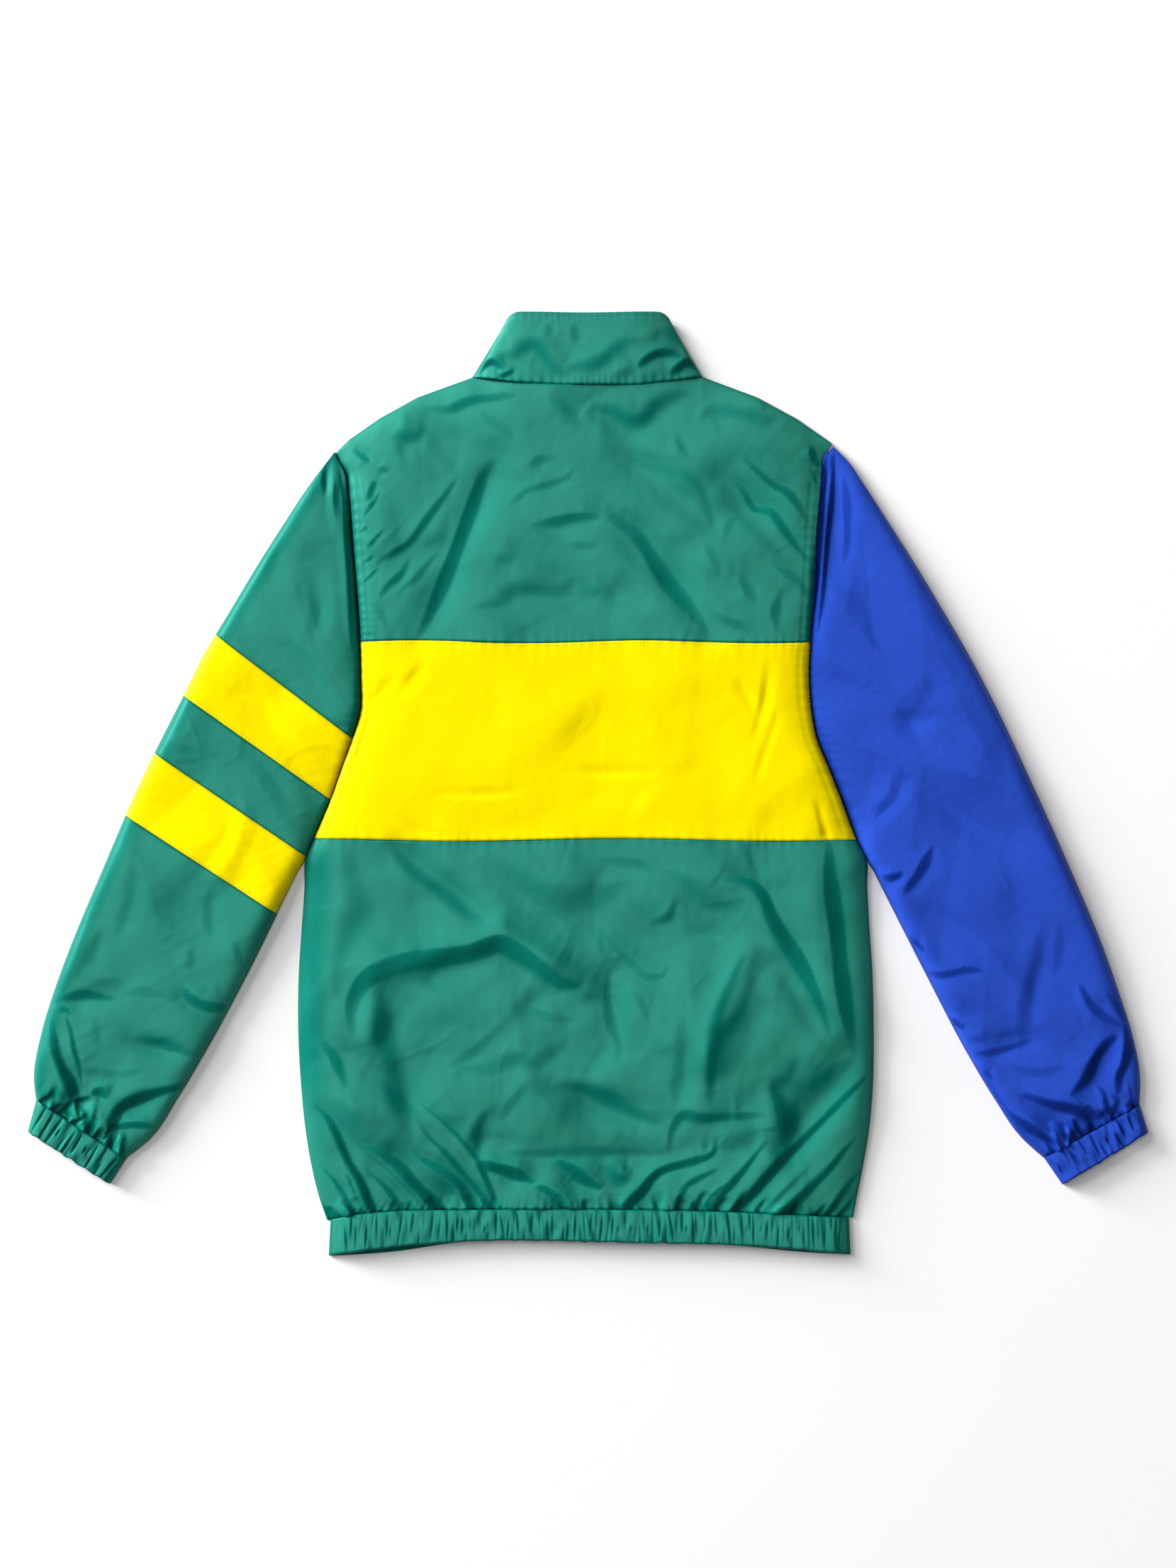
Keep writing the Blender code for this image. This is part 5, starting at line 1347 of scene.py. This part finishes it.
def make_sleeve_piece(name, material, side, first, last, pitch, thread):
    """Part of a sleeve between two of its sections."""
    count = max(6, int(round((last - first) / LAST_SECTION * SLEEVE_LENGTHS[side] / pitch)))
    v = last + (first - last) * spaced(count * pitch, pitch)
    gap = 0.004
    v = np.clip(v, first + (gap if first else 0), last - gap)
    parts = []
    for closed in (True, False):
        rows = v[(v >= UNDERARM_SECTION) == closed]
        if len(rows):
            parts.append(sleeve_grid(side, sleeve_stations(closed), rows))
    parts = [np.concatenate(values) for values in zip(*parts)]
    if side > 0:
        parts = [values[:, ::-1] for values in parts]
    x, y, z, form, from_inner, from_outer, upper = parts
    below, above = run_along(x, y, 0)
    z = np.where(upper, z + groove(below) + (groove(above) if first else 0), z)
    near = np.minimum(below, above if first else 99)
    is_open = np.broadcast_to((v < UNDERARM_SECTION)[:, None], x.shape)
    near = np.where(is_open, np.minimum(near, from_inner), near)
    z = np.where(is_open & upper, z + groove(from_inner), z)
    # Painted shade from the falls, and on the left sleeve along its outer edge, which faces the
    # light
    slope = steepest(SLEEVE_FALLS[side], x, y)
    if side < 0:
        slope = np.maximum(slope, LEFT_EDGE_PAINTED_SHADE * (1 - step_up(from_outer, 6, 20)))
    make_cloth(name, material, x, y, z, near, form=form, slope=upper * slope,
               tube=bool(np.all(v >= UNDERARM_SECTION)))
    if thread:
        row = row_at(below, STITCH_INSET)
        sew_row(thread, (x, y, z), row, upper[row])


# ---------------------------------------------------------------------- zip

def make_tape(name, material, side):
    """A woven zip tape beside the centre line, from the hem to the collar's top."""
    y = np.linspace(ZIP_LOW, ZIP_HIGH, 190)[:, None]
    inner = TAPE_INNER + (TAPE_FORK - TAPE_INNER) * step_up(y, SLIDER_Y - 3, SLIDER_Y + 3)
    t = np.linspace(0, 1, 7)[None]
    t = t if side > 0 else 1 - t
    x = side * (inner + (TAPE_OUTER - inner) * t)
    y = np.broadcast_to(y, x.shape)
    edge = np.minimum(t, 1 - t) * (TAPE_OUTER - TAPE_INNER)
    make_cloth(name, material, x, y, 0.95 + tab_lift(0.0, y), np.broadcast_to(edge + 0.6, x.shape),
               thickness=0.55)


def make_teeth(material):
    """Moulded teeth that mesh on the centre line and part above the slider."""
    outline = ((3.0, -0.72), (3.0, 0.72), (1.2, 0.55), (0.2, 0.45), (-0.35, 0.62),
               (-0.95, 0.45), (-0.95, -0.45), (-0.35, -0.62), (0.2, -0.45), (1.2, -0.55))
    levels = ((0.12, 0.82), (0.3, 1.0), (1.25, 1.0), (1.45, 0.82))
    verts, faces = [], []
    for side in (-1, 1):
        start = ZIP_LOW + 3 + (TOOTH_PITCH / 2 if side > 0 else 0)
        for y in np.arange(start, ZIP_HIGH - 4, TOOTH_PITCH):
            fork = (TAPE_FORK - TAPE_INNER + 0.9) * step_up(y, SLIDER_Y - 3, SLIDER_Y + 5)
            lift = float(tab_lift(0.0, y))
            first = len(verts)
            for level, size in levels:
                for px, py in outline:
                    spot = (side * (1.0 + (px - 1.0) * size + fork), y + py * size, level + lift)
                    verts.append([value * MM for value in spot])
            faces += prism_faces(first, len(levels), len(outline))
    piece = new_object("zip_teeth", verts, faces, smooth=False)
    change_mesh(bpy.ops.mesh.normals_make_consistent, inside=False)
    keep(piece, material)


# ---------------------------------------------------------------- materials

class Board:
    """The nodes of one material."""

    def __init__(self, name):
        self.material = bpy.data.materials.new(name)
        self.material.use_nodes = True
        self.tree = self.material.node_tree
        self.shader = self.tree.nodes["Principled BSDF"]

    def node(self, kind, settings=None, inputs=None):
        """A new node with its settings and what goes into its sockets."""
        item = self.tree.nodes.new(kind)
        for key, value in (settings or {}).items():
            setattr(item, key, value)
        for key, value in (inputs or {}).items():
            self.feed(item.inputs[key], value)
        return item

    def feed(self, socket, value):
        """Link a socket to another, or give it a plain value."""
        if isinstance(value, Number):
            value = value.socket
        if isinstance(value, bpy.types.NodeSocket):
            self.tree.links.new(value, socket)
        else:
            socket.default_value = value

    def number(self, socket):
        return Number(self, socket)

    def noise(self, where, scale, detail=2.0, rough=0.5):
        item = self.node("ShaderNodeTexNoise", {"noise_dimensions": "3D"},
                         {"Vector": where, "Scale": scale, "Detail": detail,
                          "Roughness": rough})
        return self.number(item.outputs[0])

    def stretched(self, where, scale):
        item = self.node("ShaderNodeVectorMath", {"operation": "MULTIPLY"},
                         {0: where, 1: scale})
        return item.outputs[0]

    def mixed(self, share, first, second):
        item = self.node("ShaderNodeMix", {"data_type": "RGBA"},
                         {0: share, 6: first, 7: second})
        return item.outputs[2]

    def bumped(self, height, strength, distance):
        item = self.node("ShaderNodeBump", None,
                         {"Strength": strength, "Distance": distance, "Height": height})
        self.feed(self.shader.inputs["Normal"], item.outputs[0])

    def place(self):
        return self.node("ShaderNodeTexCoord").outputs["Object"]

    def painted(self, label):
        """A number that make_cloth wrote on the points."""
        item = self.node("ShaderNodeAttribute", {"attribute_name": label})
        return self.number(item.outputs["Fac"])

    def colour(self, share, first, second):
        self.feed(self.shader.inputs["Base Color"], self.mixed(share, first, second))

    def roughness(self, value):
        self.feed(self.shader.inputs["Roughness"], value)

    def fix(self, **constants):
        """Set the shader's own values."""
        for key, value in constants.items():
            self.shader.inputs[key.replace("_", " ")].default_value = value


class Number:
    """A number that varies over a surface. Plain arithmetic on it adds nodes."""

    def __init__(self, board, socket):
        self.board = board
        self.socket = socket

    def math(self, operation, *others, clamped=False):
        settings = {"operation": operation, "use_clamp": clamped}
        item = self.board.node("ShaderNodeMath", settings, dict(enumerate((self,) + others)))
        return Number(self.board, item.outputs[0])

    def __add__(self, other):
        return self.math("ADD", other)

    __radd__ = __add__

    def __sub__(self, other):
        return self.math("SUBTRACT", other)

    def __mul__(self, other):
        return self.math("MULTIPLY", other)

    def wave(self, length):
        """Swings between -1 and 1 once in each length."""
        return (self * (2 * math.pi / length)).math("SINE")

    def between(self, low, high, top=1):
        """0 at low, top at high, in a straight line that stops at 0 and 1."""
        return ((self - low) * (top / (high - low))).capped()

    def capped(self):
        """Kept between 0 and 1."""
        return self.math("ADD", 0.0, clamped=True)


def cloth_uv(board):
    """Metres across and along the cloth."""
    uv = board.node("ShaderNodeUVMap", {"uv_map": "cloth"}).outputs[0]
    parts = board.node("ShaderNodeSeparateXYZ", None, {0: uv})
    return board.number(parts.outputs[0]), board.number(parts.outputs[1])


def nylon(name, colour, shade, bright, gloss):
    """Thin satin nylon: a fine plain weave, faint streaks, and painted shade at the seams and where
    the cloth leans.
    """
    board = Board(name)
    place = board.place()
    across, along = cloth_uv(board)
    weave = across.wave(WARP_PITCH) * along.wave(WEFT_PITCH)
    broad = board.noise(place, 11.0, 3.0, 0.55)
    streak = board.noise(board.stretched(place, (420.0, 28.0, 60.0)), 1.0, 2.0, 0.6)
    crinkle = board.noise(place, 150.0, 4.0, 0.62)
    seam, lean = board.painted("seam"), board.painted("lean")
    fold = lean.between(LEAN_START, LEAN_FULL)
    # Painted shade next to seams and where the cloth leans, with random tone from the noises and
    # the weave; the lighter tone is held back where it leans
    painted_shade_and_tone = (seam * 0.5 + fold * LEAN_SHADE_SHARE + (broad - 0.5) * 0.25 + (streak - 0.5) * 0.16
            + weave * 0.03).capped()
    light = ((broad - 0.48) * -0.5 + (streak - 0.5) * 0.3 + weave * 0.05 - fold).capped()
    # Deeper painted shade on steep slopes
    steep_painted_shade = lean.between(STEEP_START, STEEP_FULL, top=0.8)
    tone = board.mixed(painted_shade_and_tone, board.mixed(light, colour, bright), shade)
    deep_painted_shade = [DEEP_SHADE_SHARE * value for value in shade[:3]] + [1]
    board.colour(steep_painted_shade, tone, deep_painted_shade)
    board.roughness(0.40 + (broad - 0.5) * 0.12 + (streak - 0.5) * 0.10 + weave * 0.02)
    board.bumped(crinkle * 0.7 + streak * 0.2 + weave * 0.06, 0.22, 0.0009)
    board.fix(Specular_IOR_Level=0.22, Specular_Tint=gloss, Sheen_Weight=0.03,
              Sheen_Roughness=0.35, Sheen_Tint=bright)
    return board.material


def woven_tape(name, colour, shade):
    """A zip tape: a herringbone weave with a denser edge."""
    board = Board(name)
    across, along = cloth_uv(board)
    ribs = across.wave(0.0011)
    twill = (along + across * 0.8).wave(0.0008)
    grain = board.noise(board.place(), 900.0, 3.0, 0.6)
    share = 0.35 + ribs * 0.18 + twill * 0.2 + (grain - 0.5) * 0.5 + board.painted("seam") * 0.3
    board.colour(share.capped(), colour, shade)
    board.roughness(0.7 + (grain - 0.5) * 0.2)
    board.bumped(ribs * 0.4 + twill * 0.3 + grain * 0.3, 0.5, 0.0003)
    return board.material


def thread(name, colour, shade):
    """Twisted polyester sewing thread."""
    board = Board(name)
    place = board.place()
    parts = board.node("ShaderNodeSeparateXYZ", None, {0: place})
    x, y = board.number(parts.outputs[0]), board.number(parts.outputs[1])
    twist = (x + y).wave(0.00045)
    fuzz = board.noise(place, 2500.0, 2.0, 0.6)
    board.colour((0.35 + twist * 0.3 + (fuzz - 0.5) * 0.5).capped(), colour, shade)
    board.roughness(0.5 + (fuzz - 0.5) * 0.2)
    board.bumped(twist * 0.6 + fuzz * 0.4, 0.4, 0.0001)
    board.fix(Sheen_Weight=0.25)
    return board.material


def moulded(name, colour, shade):
    """Moulded nylon of the zip teeth, faintly mottled and rubbed."""
    board = Board(name)
    place = board.place()
    cloud = board.noise(place, 300.0, 3.0, 0.6)
    grain = board.noise(place, 2600.0, 2.0, 0.5)
    board.colour(cloud, colour, shade)
    board.roughness(0.32 + (cloud - 0.5) * 0.3)
    board.bumped(grain, 0.25, 0.0001)
    return board.material


def brushed_metal(name, colour, shade):
    """Nickel finish with fine brush lines, specks and softly worn spots."""
    board = Board(name)
    place = board.place()
    lines = board.noise(board.stretched(place, (5200.0, 260.0, 5200.0)), 1.0, 3.0, 0.6)
    cloud = board.noise(place, 240.0, 4.0, 0.6)
    speck = board.noise(place, 3000.0, 2.0, 0.5)
    worn = ((cloud - 0.42) * 2.2).capped()
    board.colour(worn, colour, shade)
    board.roughness(0.24 + (lines - 0.5) * 0.25 + worn * 0.16 + (speck - 0.5) * 0.06)
    board.fix(Metallic=1.0)
    board.bumped(lines * 0.7 + speck * 0.3, 0.3, 0.00012)
    return board.material


# Each nylon: its colour, the colour of its painted shade, a lighter tone, and the tint of its gloss
GREEN = nylon("green_nylon", (0.024, 0.226, 0.166, 1), (0.0005, 0.150, 0.112, 1),
              (0.032, 0.248, 0.182, 1), (0.10, 1.0, 0.78, 1))
YELLOW = nylon("yellow_nylon", (0.97, 0.79, 0.000, 1), (0.86, 0.66, 0.000, 1),
               (0.99, 0.83, 0.001, 1), (1.0, 0.85, 0.02, 1))
BLUE = nylon("blue_nylon", (0.022, 0.072, 0.490, 1), (0.008, 0.040, 0.330, 1),
             (0.025, 0.076, 0.490, 1), (0.08, 0.18, 1.0, 1))
TAPE = woven_tape("green_zip_tape", (0.016, 0.190, 0.140, 1), (0.006, 0.085, 0.062, 1))
TEETH = moulded("green_moulded_teeth", (0.018, 0.200, 0.150, 1), (0.010, 0.130, 0.098, 1))
NICKEL = brushed_metal("nickel_zip_metal", (0.60, 0.60, 0.61, 1), (0.42, 0.41, 0.40, 1))
THREADS = {
    "green": thread("green_thread", (0.018, 0.210, 0.155, 1), (0.008, 0.115, 0.085, 1)),
    "yellow": thread("yellow_thread", (0.90, 0.77, 0.004, 1), (0.62, 0.50, 0.003, 1)),
    "blue": thread("blue_thread", (0.016, 0.055, 0.400, 1), (0.008, 0.028, 0.240, 1)),
}


# ------------------------------------------------------------- the jacket

def make_jacket():
    """All pieces of cloth, the sewing and the zip."""
    across = spaced(433, 2.05)
    neck_across = np.interp(np.linspace(0, 1, NECK_COLUMNS + 1), *zip(*NECK_SHARES))
    neck_across = np.concatenate(([0.0, 0.0009, 0.0021, 0.0040], neck_across[2:-2],
                                  [0.9960, 0.9979, 0.9991, 1.0]))
    make_back_piece("back_upper", GREEN, band_top_y, top_y, neck_across,
                    spaced(215, 2.0), "green")
    make_back_piece("back_band", YELLOW, band_bottom_y, band_top_y, across,
                    spaced(167, 2.1), "yellow")
    rows = spaced(315, 1.9)
    make_back_piece("back_lower", GREEN, hem_seam, band_bottom_y, spaced(480, 1.75),
                    rows ** 1.2, "green")
    make_front("front_left", GREEN, -1)
    make_front("front_right", GREEN, 1)
    for name, material, first, last, colour in (
            ("sleeve_left_head", GREEN, 0, 5, "green"),
            ("sleeve_left_stripe_upper", YELLOW, 5, 7, "yellow"),
            ("sleeve_left_middle", GREEN, 7, 9, "green"),
            ("sleeve_left_stripe_lower", YELLOW, 9, 11, "yellow"),
            ("sleeve_left_forearm", GREEN, 11, 19, None)):
        make_sleeve_piece(name, material, -1, first, last, 2.1, colour)
    make_sleeve_piece("sleeve_right", BLUE, 1, 0, LAST_SECTION, 2.1, None)
    make_cuff("cuff_left", GREEN, -1)
    make_cuff("cuff_right", BLUE, 1)
    make_collar(GREEN)
    make_hem_band(GREEN)
    make_tape("zip_tape_left", TAPE, -1)
    make_tape("zip_tape_right", TAPE, 1)
    make_teeth(TEETH)
    for colour, lines in stitch_lines.items():
        make_stitches("stitches_" + colour, THREADS[colour], lines)
    for node in ("zip_slider", "zip_pull"):
        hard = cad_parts[node]
        hard.data.materials.clear()
        hard.data.materials.append(NICKEL)


# Each piece as cut: its width, length and area laid flat, in metres, and what it rests on
CUTS = table("piece width length area rests_on",
    ("back_upper", 0.433, 0.226, 0.082, ("front_left", "front_right")),
    ("back_band", 0.462, 0.17, 0.07, ("front_left", "front_right")),
    ("back_lower", 0.492, 0.324, 0.152, ("front_left", "front_right")),
    ("front_left", 0.238, 0.706, 0.15, ("floor",)),
    ("front_right", 0.236, 0.706, 0.15, ("floor",)),
    ("sleeve_left_head", 0.3, 0.235, 0.038, ("floor",)),
    ("sleeve_left_stripe_upper", 0.345, 0.064, 0.019, ("floor",)),
    ("sleeve_left_middle", 0.355, 0.062, 0.019, ("floor",)),
    ("sleeve_left_stripe_lower", 0.355, 0.06, 0.019, ("floor",)),
    ("sleeve_left_forearm", 0.35, 0.33, 0.088, ("floor",)),
    ("cuff_left", 0.225, 0.029, 0.006, ("floor",)),
    ("cuff_right", 0.225, 0.029, 0.006, ("floor",)),
    ("sleeve_right", 0.355, 0.655, 0.18, ("floor",)), ("collar", 0.42, 0.062, 0.023, ("floor",)),
    ("hem_band", 0.96, 0.029, 0.0275, ("floor",)),
    ("zip_tape_left", 0.0059, 0.742, 0.0043, ("floor",)),
    ("zip_tape_right", 0.0059, 0.742, 0.0043, ("floor",)))


# The floor, in metres, just under the cloth, so that the two never share a face
FLOOR_SIZE = 8.0
FLOOR_LEVEL = -0.0002

# Square lights: where they stand and how wide they are, in metres, and their watts
ROOM_LIGHT = 0.16
LIGHTS = table("name spot size energy",
    ("key_light", (-10.2, 5.9, 6.8), 7.2, 1540), ("low_light", (-11.9, 6.9, 3.0), 4.8, 3350),
    ("overhead_softbox", (-0.5, 0.5, 3.6), 2.2, 30))

# The camera: focal length and sensor in millimetres, height above the floor in metres
LENS = 85
SENSOR_HEIGHT = 36
CAMERA_HEIGHT = 3.139


def make_floor():
    """The white ground of the photo, which isn't part of the jacket."""
    bpy.ops.mesh.primitive_plane_add(size=FLOOR_SIZE, location=(0, 0, FLOOR_LEVEL))
    floor = bpy.context.object
    floor.name = "floor"
    board = Board("white_floor")
    board.fix(Base_Color=(0.96, 0.96, 0.96, 1), Roughness=0.9, Specular_IOR_Level=0.1)
    floor.data.materials.append(board.material)


def make_light(light):
    """A square soft light that shines at the middle of the jacket."""
    lamp = bpy.data.lights.new(light.name, "AREA")
    lamp.shape = "SQUARE"
    lamp.size = light.size
    lamp.energy = light.energy
    item = bpy.data.objects.new(light.name, lamp)
    bpy.context.scene.collection.objects.link(item)
    item.location = light.spot
    item.rotation_euler = item.location.to_track_quat("Z", "Y").to_euler()


def light_and_camera():
    """Soft light from the upper left, a white room, and a camera straight above."""
    scene = bpy.context.scene
    world = bpy.data.worlds.new("white_room")
    world.use_nodes = True
    world.node_tree.nodes["Background"].inputs[0].default_value = (1, 1, 1, 1)
    world.node_tree.nodes["Background"].inputs[1].default_value = ROOM_LIGHT
    scene.world = world
    for light in LIGHTS:
        make_light(light)
    scene.view_settings.view_transform = "Standard"
    camera = bpy.data.cameras.new("camera")
    camera.lens = LENS
    camera.sensor_fit = "VERTICAL"
    camera.sensor_height = SENSOR_HEIGHT
    item = bpy.data.objects.new("camera", camera)
    scene.collection.objects.link(item)
    item.location = (0, 0, CAMERA_HEIGHT)
    scene.camera = item


make_jacket()
make_floor()
light_and_camera()
